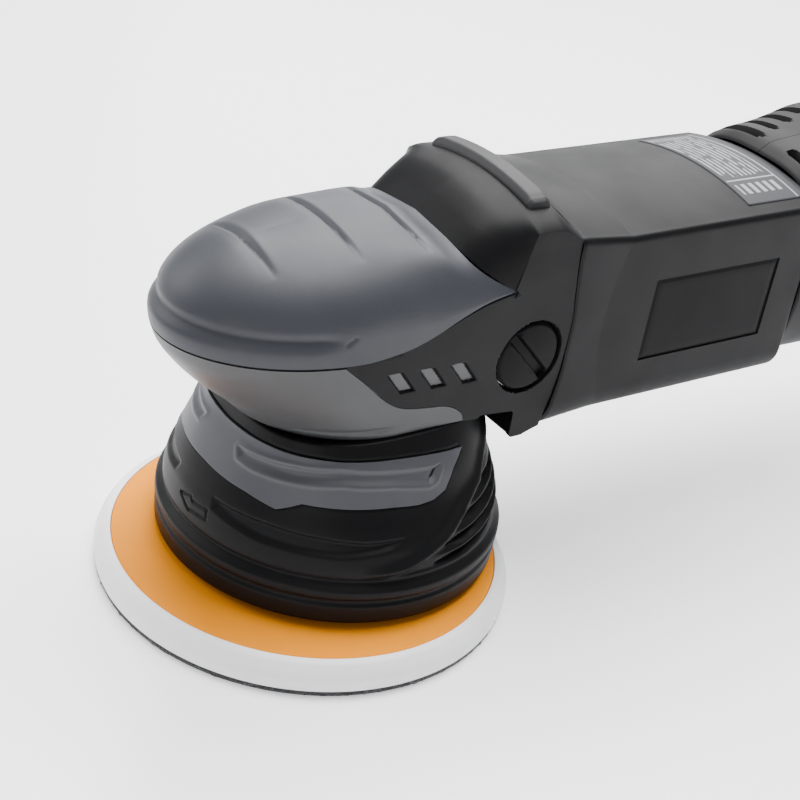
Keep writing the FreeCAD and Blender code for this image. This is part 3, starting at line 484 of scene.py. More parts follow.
NOSE_SHARE = 0.57
HEAD_BEND = -20.0


def both_ways(step):
    """Even steps from -1 over 0 to 1."""
    half = even(0.0, 1.0, step)
    return np.concatenate([-half[:0:-1], half])


def nose_path(t, half, front, bend, rear, nose_share=NOSE_SHARE):
    """Plan point for t from -1 (rear, -X) over 0 (nose) to 1 (rear, +X)."""
    size = np.abs(t)
    turn = np.clip(size / nose_share, 0, 1) * math.pi / 2
    straight = np.clip((size - nose_share) / (1 - nose_share), 0, 1)
    x = half * np.sin(turn) * np.sign(t)
    y = bend + (front - bend) * np.cos(turn)
    return x, np.where(size > nose_share, mix(bend, rear, straight), y)


# ---------------------------------------------------------------- head covers
CROWN_REAR_MIDDLE = 17.3
CROWN_REAR_SWEEP = 18.7
CROWN_REAR_TOP = 135.9
CROWN_REAR_CORNER = 120.2
CROWN_DROOP = 0.25


def crown_rear(x):
    """Rear edge of the crown cover in plan."""
    return CROWN_REAR_MIDDLE + CROWN_REAR_SWEEP * np.clip(np.abs(x) / SHELL_HALF, 0, 1) ** 8


def crown_profile(share):
    """Share of the crown's height at a share of its half-width, towards the rear."""
    share = np.clip(share, 0, 1)
    return (1 - CROWN_DROOP * share) * (1 - share ** 7)


def crown_rear_height(x):
    """Height of the crown cover along its rear edge."""
    rise = CROWN_REAR_TOP - CROWN_REAR_CORNER
    return CROWN_REAR_CORNER + rise * crown_profile(np.abs(x) / SHELL_HALF)


def make_crown():
    t = both_ways(0.0068)
    size = np.abs(t)
    bend = HEAD_BEND
    rim_x, rim_y = nose_path(t, HEAD_HALF, NOSE, bend, 36.0)
    rim_x = np.where(size > NOSE_SHARE, np.sign(t) * mix(HEAD_HALF, SHELL_HALF - 0.2,
                                                         ease(NOSE_SHARE, 1.0, size)), rim_x)
    rim_z = rim_height(rim_y) + 0.4
    fade = 1 - ease(-42, -27, rim_y)
    inset = fade * mix(0.7, 1.5, ease(0.45, 0.0, size))
    crease_z = smooth_line([(-80, 113.5), (-20, 113.8), (0, 114.2), (14, 116.6), (24, 119.0),
                            (36, 121.0)])(rim_y)
    out_x = rim_x / np.hypot(rim_x, (rim_y - bend) * (rim_y < bend) - 1e-6)
    out_y = np.where(rim_y < bend, (rim_y - bend) / np.hypot(rim_x, rim_y - bend), 0.0)
    columns = []
    for step in np.linspace(0, 1, 13):
        z = mix(rim_z, crease_z, step)
        push = 0.6 * np.sin(step * math.pi) * fade - inset * ease(0.55, 1.0, step)
        columns.append(np.stack([rim_x + out_x * push, rim_y + out_y * push, z], -1))
    base = columns[-1]
    middle = float(crown_rear(0.0))
    spine_y = np.where(size < NOSE_SHARE, -40 + 20 * (size / NOSE_SHARE) ** 2,
                       mix(bend, middle, np.clip((size - NOSE_SHARE) / (1 - NOSE_SHARE), 0, 1)))
    spine_z = smooth_line([(-42, 135.8), (-34, 137.0), (-19, CROWN_TOP), (-5, CROWN_TOP + 0.1),
                           (5, CROWN_TOP - 0.4),
                           (middle, CROWN_REAR_TOP)])(spine_y)
    power = smooth_line([(0, 1.72), (0.3, 1.8), (NOSE_SHARE, 2.05), (1, 2.4)])(size)
    sweep = 1 + 9 * ease(0.6, 1.0, size)
    for angle in np.linspace(0, math.pi / 2, 62)[1:]:
        across = np.cos(angle) ** (2 / power)
        up = np.sin(angle) ** (2 / power)
        x = base[:, 0] * across
        y = spine_y + (base[:, 1] - spine_y) * across ** sweep
        up = mix(up, crown_profile(across), ease(NOSE_SHARE, 1.0, size))
        z = mix(base[:, 2] + (spine_z - base[:, 2]) * up, crown_rear_height(x), ease(0.9, 1.0, size))
        columns.append(np.stack([x, y, z], -1))
    grid = np.stack(columns, 1)
    valley = 0.75 * hump(grid[..., 2] - crease_z[:, None] - 0.6, 1.5) * fade[:, None]
    grid[..., 0] -= out_x[:, None] * valley
    grid[..., 1] -= out_y[:, None] * valley
    x, y, z = grid[..., 0], grid[..., 1], grid[..., 2]
    above = ease(118, 124, z)
    for y0, half in ((-49.0, 20.0), (-21.0, 25.0), (4.0, 26.0)):
        reach = np.clip(1 - (x / half) ** 2, 0, 1) ** 0.7
        line = y - y0 - 0.0025 * x ** 2
        cut = -1.2 * hump(line, 0.8) - 0.4 * hump(line + 1.6, 2.2) + 0.2 * hump(line - 2.4, 1.8)
        grid[..., 2] += cut * reach * above
    slit = distance_to_line(y, z, [(-30.5, 112.4), (-28.0, 114.6)])
    grid[..., 0] -= np.sign(x) * 0.9 * hump(slit, 0.4) * (z < 117)
    piece = skin("crown_cover", grid, (0, -10, 60))
    weld(piece)
    wall(piece, 2.4)
    soften(piece, 0.5, 3, 50)
    dress(piece, "body", CROWN, "cover_grey", "upper_cover")


def neck_level(z):
    """Half-width, front and bend of the neck cover at a height."""
    top = RIM - 0.4
    half = smooth_line([(73, HEAD_HALF - 1.5), (86, HEAD_HALF - 1.4), (94, HEAD_HALF - 1.0),
                        (top, HEAD_HALF - 0.1)])(z)
    front = smooth_line([(73, -46.0), (79, -52.5), (86, -61.5), (94, -69.5), (100, -74.0),
                         (top, NOSE + 0.3)])(z)
    bend = smooth_line([(73, -3.0), (79, -6.0), (86, -11.0), (94, -16.0), (top, HEAD_BEND)])(z)
    return half, front, bend


def make_neck():
    t = both_ways(0.0085)
    edge = smooth_line([(104.0 - z, y) for y, z in SKIRT_EDGE])
    rows = []
    for z in even(SKIRT_TOP + 0.4, RIM - 0.4, 0.55):
        half, front, bend = neck_level(z)
        rear = edge(104.0 - z)
        x, y = nose_path(t, half, front, bend, rear)
        back = np.abs(t) > NOSE_SHARE
        if rear < bend:
            y = np.minimum(y, rear)
            x = np.where(back, np.sign(t) * half * np.sqrt(np.clip(1 - ((y - bend) / (front - bend)) ** 2,
                                                            0, 1)), x)
            x = np.where(y >= rear - 1e-6, np.sign(t) * half * math.sqrt(max(0,
                                                            1 - ((rear - bend) / (front - bend)) ** 2)), x)
        rows.append(np.stack([x, y, np.full_like(x, z)], -1))
    grid = np.stack(rows, 0)
    # a soft scallop low on each cheek
    turn = np.degrees(np.arctan2(grid[..., 1], np.abs(grid[..., 0])))
    scallop = hump(grid[..., 2] - 76.4, 0.8) * ease(-62, -50, turn) * (1 - ease(-14, -6, turn))
    grid[..., :2] *= (1 - 0.012 * scallop)[..., None]
    piece = skin("neck_cover", grid, (0, 0, 95))
    weld(piece)
    wall(piece, 2.4)
    soften(piece, 0.45, 2, 50)
    dress(piece, "body", NECK, "lower_grey", "lower_cover")


# ---------------------------------------------------------------- head frame
def seam_at(z):
    """Where the head frame meets the barrel, by height."""
    return SEAM - 1.0 + smooth_line([(56, -2.0), (66, -0.6), (76, 1.6), (88, 2.9), (104, 2.9), (116, 1.4),
                                     (128, 0.1),
                                     (150, 0.0)])(z)


def frame_low(y):
    """Lower edge of the head frame's side, by distance back."""
    forward = smooth_line([(p[0], p[1] + 0.25) for p in SKIRT_EDGE])
    back = [(23.2, 73.0), (29.5, 72.4), (31.0, 73.6), (45.6, 72.2), (46.0, 70.0), (46.3, 62.5),
            (47.6, 60.6), (53.0, 60.6),
            (57.0, 62.0), (70.0, 66.0)]
    return np.where(y < 23.1, forward(y), np.interp(y, *zip(*back)))


def side_x(z):
    return smooth_line([(58, SHELL_HALF - 1.3), (72, SHELL_HALF - 0.6), (86, SHELL_HALF - 0.35),
                        (104, SHELL_HALF),
                        (122, SHELL_HALF), (134, SHELL_HALF - 0.4)])(z)


INLET_FRONT = -13.1
INLET_PITCH = 12.9
INLET_WIDTH = 6.3
INLET_LEAN = 6.9
INLET_TOP = 98.1
INLET_BOTTOM = 89.7
INLET_FALL = 0.55


def inlet_outline(index):
    """Corners of one air inlet, a leaning parallelogram; each sits a little lower than the one before."""
    front = INLET_FRONT + INLET_PITCH * index
    rear = front + INLET_WIDTH
    top = INLET_TOP - INLET_FALL * index
    bottom = INLET_BOTTOM - INLET_FALL * index
    return [(front, top), (rear, top), (rear + INLET_LEAN, bottom), (front + INLET_LEAN, bottom)]


INLETS = [inlet_outline(index) for index in range(3)]


def make_frame_side(side, border):
    """Side panel: border is the line that it shares with the hand stop, as (y, z) from front to back."""
    forward = even(-29.6, border[0][0], 0.55)
    stations = np.concatenate([forward[:-1], border[:, 0]])
    tops = np.concatenate([rim_height(forward[:-1]), border[:, 1]])
    bottom = frame_low(stations)
    share = np.linspace(0, 1, 112)
    y = np.repeat(stations[:, None], len(share), 1)
    # the lower rows take up the steps of the lower edge, so that the rows above stay level
    level = np.maximum(bottom + 0.5, 75.0)[:, None]
    z = np.where(share < 0.12, mix(bottom[:, None], level, share / 0.12),
                 mix(level, tops[:, None], (share - 0.12) / 0.88))
    # the rear stations bow back with the seam
    start = border[0][0]
    end = border[-1][0]
    bow = (seam_at(z) - end) * ease(start + 8, end, y)
    y = y + bow * (share[None, :] < 0.999)
    x = side_x(z)
    hole = np.zeros_like(x)
    for corners in INLETS:
        hole = np.maximum(hole, pocket(y, z, corners, 0.35, 0.25))
    ring = np.hypot(y - PLUG[1], z - PLUG[2])
    bore = ease(PLUG_RADIUS + 0.95, PLUG_RADIUS + 0.45, ring)
    depth = 1.1 * hole + 3.4 * bore
    x = np.where(share[None, :] < 0.999, x - depth, border_x(z))
    grid = np.stack([side * x, y, z], -1)
    return skin("frame_side", grid, (0, 20, 95))


def border_x(z):
    return np.full_like(z, SHELL_HALF - 0.4)


def ridge_height(x, top=148.7):
    """Height of the hand stop's ridge across the head."""
    share = np.clip(np.abs(x) / (SHELL_HALF - 0.4), 0, 1)
    return top - 6.2 * share ** 2 - 1.6 * share ** 12


def paint_inlets(piece):
    """Gives the plates in the air inlets the second material, a grey that is partly their own tone and partly
    painted light against the shade in the recessed inlets.
    """
    centre = np.array([face.center for face in piece.data.polygons]) / MM
    plate = np.zeros(len(centre))
    for corners in INLETS:
        plate = np.maximum(plate, pocket(centre[:, 1], centre[:, 2], corners, 0.1, 0.7))
    plate *= np.abs(centre[:, 0]) > SHELL_HALF - 3
    piece.data.polygons.foreach_set("material_index", (plate > 0.5).astype("int32"))


def make_head_frame():
    across = np.sin(np.linspace(-math.pi / 2, math.pi / 2, 121))
    edge_half = SHELL_HALF - 0.4
    x = across * edge_half
    # key lines across the head: the crown's rear edge, both sides of the ridge and the seam
    share = np.abs(across)
    start_y = crown_rear(x) + 0.15
    start_z = crown_rear_height(x) - 0.1
    ridge_y = np.full_like(x, 40.2)
    ridge_z = ridge_height(x, 148.3)
    end_z = smooth_line([(0, 142.4), (0.3, 141.5), (0.5, 140.2), (0.8, 138.0), (0.92, 137.1),
                         (1, 136.2)])(share)
    bulge = 1.8 * (1 - share ** 6)
    keys = [
        (start_y, start_z),
        (mix(start_y, ridge_y, 0.33), mix(start_z, ridge_z, 0.36) + bulge),
        (mix(start_y, ridge_y, 0.66), mix(start_z, ridge_z, 0.69) + bulge),
        (ridge_y, ridge_z),
        (np.full_like(x, 43.0), ridge_height(x)),
        (np.full_like(x, 50.5), ridge_height(x, 148.5)),
        (np.full_like(x, 52.6), ridge_height(x, 147.9)),
        (np.full_like(x, 57.0), mix(ridge_height(x, 148.2), end_z, 0.55)),
        (np.full_like(x, SEAM - 1.0), end_z)]
    y_keys = np.stack([k[0] for k in keys])
    z_keys = np.stack([k[1] for k in keys])
    spots = np.arange(len(keys))
    fine = np.linspace(0, len(keys) - 1, 85)
    y = np.stack([smooth_line(list(zip(spots, y_keys[:, i])))(fine) for i in range(len(x))], 1)
    z = np.stack([smooth_line(list(zip(spots, z_keys[:, i])))(fine) for i in range(len(x))], 1)
    grid = np.stack([np.repeat(x[None, :], len(fine), 0), y, z], -1)
    top = skin("frame_top", grid, (0, 30, 90))
    border = np.stack([y[:, -1], z[:, -1]], 1)
    sides = [make_frame_side(side, border) for side in (1, -1)]
    piece = join("head_frame", top, *sides)
    paint_inlets(piece)
    wall(piece, 2.2)
    soften(piece, 0.8, 3, 40)
    # the second material is the inlet plates' grey, partly painted light
    dress(piece, "body", [BLACK, VENT_GREY_PAINTED_LIGHT], "black_shell", "head_shell")

    # dark line between the two grey covers, and the frame's underside behind the neck
    t = both_ways(0.02)
    rows = []
    for inset, z in ((2.2, RIM - 3.5), (0.9, RIM - 1.2), (0.75, RIM), (0.9, RIM + 1.2), (2.2, RIM + 3.5)):
        x, y = nose_path(t, HEAD_HALF - inset, NOSE + inset, HEAD_BEND, -8.0)
        rows.append(np.stack([x, y, np.full_like(x, z)], -1))
    line = skin("rim_gasket", np.stack(rows), (0, 0, RIM))
    wall(line, 1.2)
    dress(line, "body", DEEP, "black_shell")


def make_underside():
    """Floor of the head frame behind the skirt, with the lug's front and lower faces."""
    y = np.concatenate([even(23.4, 45.4, 1.0), [45.7, 45.9, 46.05, 46.2, 46.4, 46.8],
                        even(47.5, SEAM - 1.2, 0.8)])
    half = SHELL_HALF - 1.9
    rings = []
    for yi in y:
        z = float(frame_low(np.array(yi))) + 0.25
        rings.append([(-half, yi, z + 4), (-half, yi, z + 0.8), (-half + 0.8, yi, z), (half - 0.8, yi, z),
                      (half, yi, z + 0.8),
                      (half, yi, z + 4)])
    piece = closed_sweep("frame_floor", np.array(rings))
    soften(piece, 0.3, 2, 40)
    dress(piece, "body", BLACK, "black_shell")


def make_brow():
    half = high("ridge_pad")[0] - 1.0
    x = np.concatenate([[-half - 1.2], np.linspace(-half, half, 70), [half + 1.2]])
    crest = 148.5 - 2.9 * (x / half) ** 2
    outline = round_profile([(-5.0, -4.5), (-5.0, 1.0), (-3.0, 3.1), (3.0, 3.1), (5.0, 1.0), (5.0, -4.5)],
                            [0.3, 1.0, 1.0, 1.0, 1.0, 0.3], 5)
    rings = []
    for index, (xi, z) in enumerate(zip(x, crest)):
        end = index in (0, len(x) - 1)
        size = 0.86 if end else 1.0
        lift = min(1.0, 0.82 + 0.18 * ease(half, half - 3.0, abs(xi)))
        rings.append([(xi, 46.8 + p * size,
                       z + q * (lift if q > 0 else 1.0) * size - (0.35 if end else 0)) for p, q in outline])
    piece = closed_sweep("brow_rubber", np.array(rings))
    soften(piece, 0.4, 2, 45)
    dress(piece, "body", BLACK_SOFT, "black_rubber", "ridge_pad")


def make_plug(name, node, side):
    radius = PLUG_RADIUS
    angle = np.linspace(0, 2 * math.pi, 144, endpoint=False)
    rings = np.concatenate([np.linspace(0.05, radius - 1.0, 46), radius - 1.0 + np.array([0.35, 0.7, 0.95,
                                                            1.0])])
    r, a = np.meshgrid(rings, angle, indexing="ij")
    u = r * np.cos(a)
    v = r * np.sin(a)
    face = side_x(np.array(PLUG[2])) + 0.5 - 0.9 * (r / radius) ** 2 - 0.7 * ease(radius - 1.0, radius, r)
    lean = math.radians(-46)
    along = u * math.cos(lean) + v * math.sin(lean)
    offset = -u * math.sin(lean) + v * math.cos(lean)
    slot = pocket(along, offset, [(-radius - 2, -1.75), (radius + 2, -1.75), (radius + 2, 1.75),
                                  (-radius - 2, 1.75)], 0.3)
    face = face - 2.0 * slot * ease(radius - 0.6, radius - 1.6, r) + 0.25 * hump(np.abs(offset) - 2.5,
                                                            0.5) * (r < radius - 2)
    grid = np.stack([side * face, PLUG[1] + u, PLUG[2] + v], -1)
    rim = grid[-1].copy()
    rim[:, 0] = side * (SHELL_HALF - 3.0)
    back = np.repeat([[side * (SHELL_HALF - 3.0), PLUG[1], PLUG[2]]], len(angle),
                     0) + (rim - rim.mean(0)) * 0.02
    grid = np.concatenate([grid, rim[None], back[None]], 0)
    piece = skin(name, grid, (side * (SHELL_HALF - 1.5), PLUG[1], PLUG[2]), wrap_columns=True)
    edit_mesh(piece, lambda mesh: bmesh.ops.holes_fill(mesh, edges=[e for e in mesh.edges if e.is_boundary]))
    soften(piece, 0.15, 2, 50)
    dress(piece, "body", GLOSSY, "plug_black", node)


# ---------------------------------------------------------------- barrel
def barrel_half_section():
    """(x, z) from the top's middle down to the bottom's middle, at the full size."""
    half = BARREL_HALF
    shoulder = 133.4
    xs = np.linspace(0, half - 2.2, 26)
    top = [(x, BARREL_TOP - (BARREL_TOP - shoulder - 0.3) * (x / (half - 2.2)) ** 2) for x in xs]
    corner = [(half - 2.2 + 2.2 * math.sin(a), shoulder - 2.4 + 2.7 * math.cos(a)) for a in np.linspace(0,
                                                            math.pi / 2, 8)[1:]]
    badge = [low("badge_left")[2], high("badge_left")[2]]
    side_z = with_edges(even(shoulder - 3.0, BARREL_LOW + 13, 3.0)[::-1], badge, 0.12)[::-1]
    side = [(half, z) for z in side_z]
    turn = [(half - 10 + 10 * math.cos(a), BARREL_LOW + 12 - 10.5 * math.sin(a)) for a in np.linspace(0,
                                                            1.15, 9)]
    bottom = [(x, BARREL_LOW + 0.06 * x) for x in np.linspace(26, 0, 12)]
    return np.array(top + corner + side + turn + bottom)


SWELL_NEAR = 79.2
SWELL_DEPTH = 6.3
SWELL_MIDDLE = 101.0
SWELL_REACH = 41.0


def swell_end(z):
    """How far back the shoulder's swelling reaches: least at mid height, more above and below."""
    off = np.clip(np.abs(z - SWELL_MIDDLE) / SWELL_REACH, 0, 1)
    return SWELL_NEAR + SWELL_DEPTH * (1 - (1 - off ** 2) ** 2)


def make_barrel():
    half = barrel_half_section()
    mirror = half[-2:0:-1] * np.array([-1, 1])
    ring = np.concatenate([half, mirror])
    badge = [low("badge_left")[1], high("badge_left")[1]]
    rear = BARREL_END
    stations = np.concatenate([np.linspace(0, 0.9, 24), [0.93, 0.96, 0.98, 0.995, 1.0]])
    later = with_edges(even(88.0, rear - 1.0, 2.6), badge, 0.12)
    rows = []
    for s in stations:
        end = swell_end(ring[:, 1])
        start = seam_at(ring[:, 1]) + 0.22
        y = mix(start, end, s)
        lip = 0.45 * hump(y - start, 0.45)
        wide = 1.0 * (1 - s) - lip
        tall = np.where(ring[:, 1] > AXIS, 3.1, 1.3) * (1 - s) - lip
        rows.append(np.stack([ring[:, 0] * (1 + wide / 38), y, AXIS + (ring[:,
                                                            1] - AXIS) * (1 + tall / 37)], -1))
    for y in np.concatenate([later, [rear - 0.5, rear - 0.15]]):
        grow = -0.4 * hump(y - rear, 0.5)
        rows.append(np.stack([ring[:, 0] * (1 + grow / 38), np.full(len(ring), y),
                              AXIS + (ring[:, 1] - AXIS) * (1 + grow / 40)], -1))
    grid = np.stack(rows)
    inside = ((grid[..., 1] > badge[0]) & (grid[..., 1] < badge[1]) & (np.abs(grid[..., 0]) > BARREL_HALF - 1)
              & (grid[..., 2] > low("badge_left")[2]) & (grid[..., 2] < high("badge_left")[2]))
    grid[..., 0] -= np.sign(grid[..., 0]) * 0.9 * inside
    piece = skin("barrel", grid, (0, 120, 99), wrap_columns=True)
    wall(piece, 2.2)
    soften(piece, 0.22, 2, 40)
    dress(piece, "body", BLACK, "black_shell", "motor_housing")


def make_badge(name, node, side):
    y0, y1 = low(node)[1] + 0.1, high(node)[1] - 0.1
    z0, z1 = low(node)[2] + 0.1, high(node)[2] - 0.1
    y = with_edges(even(y0, y1, 4), [y0 + 1.6, y1 - 1.6], 0.2)
    z = with_edges(even(z0, z1, 4), [z0 + 1.6, z1 - 1.6], 0.2)
    gy, gz = np.meshgrid(y, z, indexing="ij")
    border = np.minimum(np.minimum(gy - y0, y1 - gy), np.minimum(gz - z0, z1 - gz))
    x = BARREL_HALF - 0.35 + 0.18 * (border > 1.6) - 0.25 * (border < 0.3)
    piece = skin(name, np.stack([side * x, gy, gz], -1), (0, (y0 + y1) / 2, (z0 + z1) / 2))
    wall(piece, 0.5)
    soften(piece, 0.12, 2, 35)
    dress(piece, "body", GLOSSY, "badge_black", node)


def make_label():
    front, rear = low("rating_label")[1], high("rating_label")[1]
    x = np.linspace(-31, 31, 60)
    y = even(front, rear, 2.0)
    gx, gy = np.meshgrid(x, y, indexing="ij")
    half = BARREL_HALF - 2.2
    z = BARREL_TOP - (BARREL_TOP - 133.7) * (gx / half) ** 2 + 0.16
    piece = skin("label_film", np.stack([gx, gy, z], -1), (0, 160, 90))
    wall(piece, 0.12)
    dress(piece, "body", label_print("label_print", front * MM, rear * MM, 31 * MM), "label_black",
          "rating_label")


# ---------------------------------------------------------------- skirt round the counterweight
def skirt_radii(z):
    """Half-width, half-length and squareness of the skirt at a height."""
    rim = SKIRT_RADIUS
    base = [(15, rim - 0.2), (16.2, rim + 0.2), (21.3, rim + 0.4), (23.0, rim - 0.5), (23.8, rim - 0.5),
            (25.6, rim + 0.8),
            (27.6, rim + 0.7), (29.4, rim - 1.0), (30.6, rim - 2.0), (32.5, rim - 1.5)]
    wide = smooth_line(base + [(40, rim - 3.2), (46, rim - 6.6), (52, rim - 10.6), (61, 46.8), (67.5, 42.6),
                               (SKIRT_TOP, 38.9)])
    long = smooth_line(base + [(40, rim - 2.6), (46, rim - 4.9), (52, rim - 7.7), (61, 49.6), (67.5, 46.4),
                               (SKIRT_TOP, 44.8)])
    power = smooth_line([(15, 2.0), (40, 2.0), (46, 2.08), (52, 2.15), (61, 2.3), (67.5, 2.55),
                         (SKIRT_TOP, 2.7)])
    return wide(z), long(z), power(z)


def skirt_point(turn, z, out=0.0):
    """Point on the skirt; turn in degrees from the nose, positive towards +X."""
    wide, long, power = skirt_radii(z)
    angle = np.radians(turn)
    s = np.sin(angle)
    c = np.cos(angle)
    r = (np.abs(s / wide) ** power + np.abs(c / long) ** power) ** (-1 / power) + out
    return np.stack([r * s, -r * c, z + 0 * r], -1)


RIB = [(150, 68.0), (141, 64.0), (130, 58.5), (123.5, 53.0), (111.5, 48.8), (101, 43.5), (90.5, 38.8),
       (82, 35.6), (70, 33.2)]
LOW_PANEL = [(11.5, 45.2), (12.5, 41.8), (19.5, 40.6), (31.5, 39.2), (45, 38.9), (60.5, 38.9), (72.5, 40.4),
             (77.5, 41.6),
             (82.5, 44.6), (68, 44.2), (51.5, 45.0), (35.5, 45.6)]
ARROW = [(-4.0, 38.4), (2.0, 40.6), (3.4, 39.2), (11.0, 40.2), (11.6, 36.8), (5.0, 36.2), (2.6, 35.4)]
SLOT_LEVELS = [(49.0, 122.0), (43.6, 107.5), (38.2, 98.0), (33.0, 93.0)]


def skirt_relief(turn, z):
    """Height of the moulded relief above the skirt's plain form."""
    side = np.abs(turn)
    out = np.zeros(np.shape(turn))
    rib = distance_to_line(side, z, RIB)
    rib_z = np.interp(side, [p[0] for p in RIB[::-1]], [p[1] for p in RIB[::-1]])
    behind = ease(0.5, 3.5, rib_z - z) * ease(70, 84, side) * ease(31.0, 32.5, z)
    out += 1.5 * hump(rib, 2.0) * ease(60, 84, side) * ease(31.5, 34, z)
    out -= 1.1 * behind
    for level, start in SLOT_LEVELS:
        rise = level + 0.05 * (side - start)
        mouth = ease(start, start + 2.5, side) * ease(181.5, 176, side)
        half = 1.5 * ease(start - 2, start + 13, side)
        reach = 1 - ease(half - 0.3, half + 0.3, np.abs(z - rise))
        out -= 4.2 * mouth * reach
        out += 1.1 * ease(start - 4, start + 14, side) * ease(181.5, 176, side) * hump(z - rise - 2.6, 0.9)
    out -= 1.5 * pocket(side, z, LOW_PANEL, 1.1, 0.6)
    arrow = distance_to_line(turn, z, ARROW, closed=True)
    out -= 0.7 * (1 - ease(0.25, 0.55, arrow))
    return out


BAND_LOW = [(0, 52.8), (23, 52.2), (31, 51.2), (35.5, 50.6), (40.5, 52.6), (44, 54.2), (51, 54.2),
            (78, 53.9), (89, 53.1),
            (96, 53.4), (102.5, 55.2), (109, 61.0), (117, 65.6)]
BAND_HIGH = [(0, 67.8), (24, 68.6), (46, 68.8), (62, 68.4), (80, 67.9), (100, 67.0), (117, 65.9)]
BAND_FRAME = [(13, 63.4), (15, 60.8), (22, 60.4), (38.5, 61.0), (57.5, 62.3), (78.5, 61.2), (94.5, 58.9),
              (98.5, 59.6),
              (101.5, 63.0), (86.5, 64.0), (56.5, 66.0), (37, 64.9), (18.5, 63.4)]


def make_skirt():
    turn = np.concatenate([even(-180, -8, 0.8), even(-7.6, 15, 0.3), even(15.6, 179.2, 0.8)])
    z = np.unique(np.concatenate([even(15.0, 34.0, 0.45), even(34.0, 52.0, 0.36),
                                  even(52.6, SKIRT_TOP, 0.7)]))
    a, h = np.meshgrid(turn, z, indexing="xy")
    grid = skirt_point(a, h, skirt_relief(a, h))
    band_low = np.interp(np.abs(a), *zip(*BAND_LOW))
    band_high = np.interp(np.abs(a), *zip(*BAND_HIGH))
    seat = ease(-0.3, 0.25, h - band_low) * ease(-0.3, 0.25, band_high - h) * (np.abs(a) < 116.5)
    grid = grid - 0.7 * seat[..., None] * (grid - [0, 0, 1] * grid) / 50
    # the rolled lower lip turns under to an inner wall
    lip = [skirt_point(turn, np.full_like(turn, SKIRT_RIM + up), out) for up,
           out in ((2.2, -2.4), (0.6, -2.3), (0.05, -1.4), (0.0, -0.7))]
    grid = np.concatenate([np.stack(lip), grid], 0)
    cap = [skirt_point(turn, np.full_like(turn, SKIRT_TOP), -0.6), skirt_point(turn,
                                                            np.full_like(turn, SKIRT_TOP - 0.3), -9.0)]
    grid = np.concatenate([grid, np.stack(cap)], 0)
    piece = skin("skirt", grid, (0, 0, 30), wrap_columns=True)
    wall(piece, 1.6)
    dress(piece, "body", BLACK, "black_shell", "shroud")


def make_band():
    turn = np.concatenate([even(-116.9, -52, 0.9), even(-51.5, -30, 0.5), even(-29, 29, 0.9),
                           even(30, 51.5, 0.5),
                           even(52, 116.9, 0.9)])
    share = np.linspace(0, 1, 46)
    low_z = np.interp(np.abs(turn), *zip(*BAND_LOW)) + 0.12
    high_z = np.interp(np.abs(turn), *zip(*BAND_HIGH)) - 0.12
    z = mix(low_z[None, :], np.maximum(high_z, low_z + 0.15)[None, :], share[:, None])
    a = np.repeat(turn[None, :], len(share), 0)
    side = np.abs(a)
    out = np.full(a.shape, 0.55)
    frame_mask = pocket(side, z, BAND_FRAME, 1.0, 0.4)
    out -= 0.85 * frame_mask
    out += 0.35 * hump(depth_inside(side, z, BAND_FRAME) + 0.9, 0.8)
    end = hump(distance_to_line(side, z, [(95.5, 59.2), (101.8, 63.4)]), 0.7)
    out -= 0.7 * end
    piece = skin("skirt_band", skirt_point(a, z, out), (0, 0, 40))
    wall(piece, 1.0)
    soften(piece, 0.3, 2, 50)
    dress(piece, "body", BAND, "insert_grey", "shroud_insert")


# ---------------------------------------------------------------- backing plate
def make_plate():
    x, y = PAD[0], PAD[1]
    radius = high("pad_foam")[0] - x
    hub = high("backing_hub")[0] - x
    top = high("pad_foam")[2] + 0.3
    hole = 8.5
    edge = round_profile([(hole, 2.0), (radius - 0.6, 2.0), (radius, 7.6), (radius - 3.2, top - 0.2),
                          (hub + 0.15, top),
                          (hub + 0.05, 7.05), (hole, 7.05)], [0.4, 0.8, 3.4, 3.0, 0.35, 0.2, 0.3], 7)
    grid = turned(edge, "z", (x, y, 0), 240)
    piece = skin("urethane_rim", grid, wrap_rows=True, wrap_columns=True, centre=(x, y, 5))
    fix_closed(piece)
    dress(piece, "pad", WHITE, "pad_urethane", "pad_foam")

    boss = high("backing_hub")[2]
    disc = round_profile([(4.3, 11.0), (8.0, 11.0), (8.0, 7.1), (hub - 0.05, 7.1), (hub - 0.05, 12.1),
                          (hub - 3.0, 12.35),
                          (34.0, 12.2), (24.0, 12.6), (17.0, 13.2), (15.0, boss), (4.3, boss)],
                         [0.3, 0.3, 0.3, 0.3, 0.5, 2.0, 4.0, 3.0, 1.5, 0.8, 0.3], 6)
    grid = turned(disc, "z", (x, y, 0), 240)
    piece = skin("hub_disc", grid, wrap_rows=True, wrap_columns=True, centre=(x, y, 9))
    fix_closed(piece)
    dress(piece, "pad", ORANGE, "hub_orange", "backing_hub")

    rng = np.random.default_rng(7)
    rings = round_profile([(hole, 0.0), (radius - 1.2, 0.0), (radius - 0.9, 1.0), (radius - 1.1, 1.96),
                           (hole, 1.96)], 0.25, 3)
    grid = turned(rings, "z", (x, y, 0), 420)
    ragged = rng.normal(0, 0.16, grid.shape[:2])
    outward = grid - np.array([x, y, 0])
    size = np.linalg.norm(outward[..., :2], axis=-1)
    frayed = (size > radius - 2.0) * (grid[..., 2] > 0.1)
    grid[..., :2] += outward[..., :2] / size[..., None] * (ragged * frayed)[..., None]
    piece = skin("hook_face", grid, wrap_rows=True, wrap_columns=True, centre=(x, y, 1))
    fix_closed(piece)
    dress(piece, "pad", HOOKS, "hook_fabric", "hook_disc")


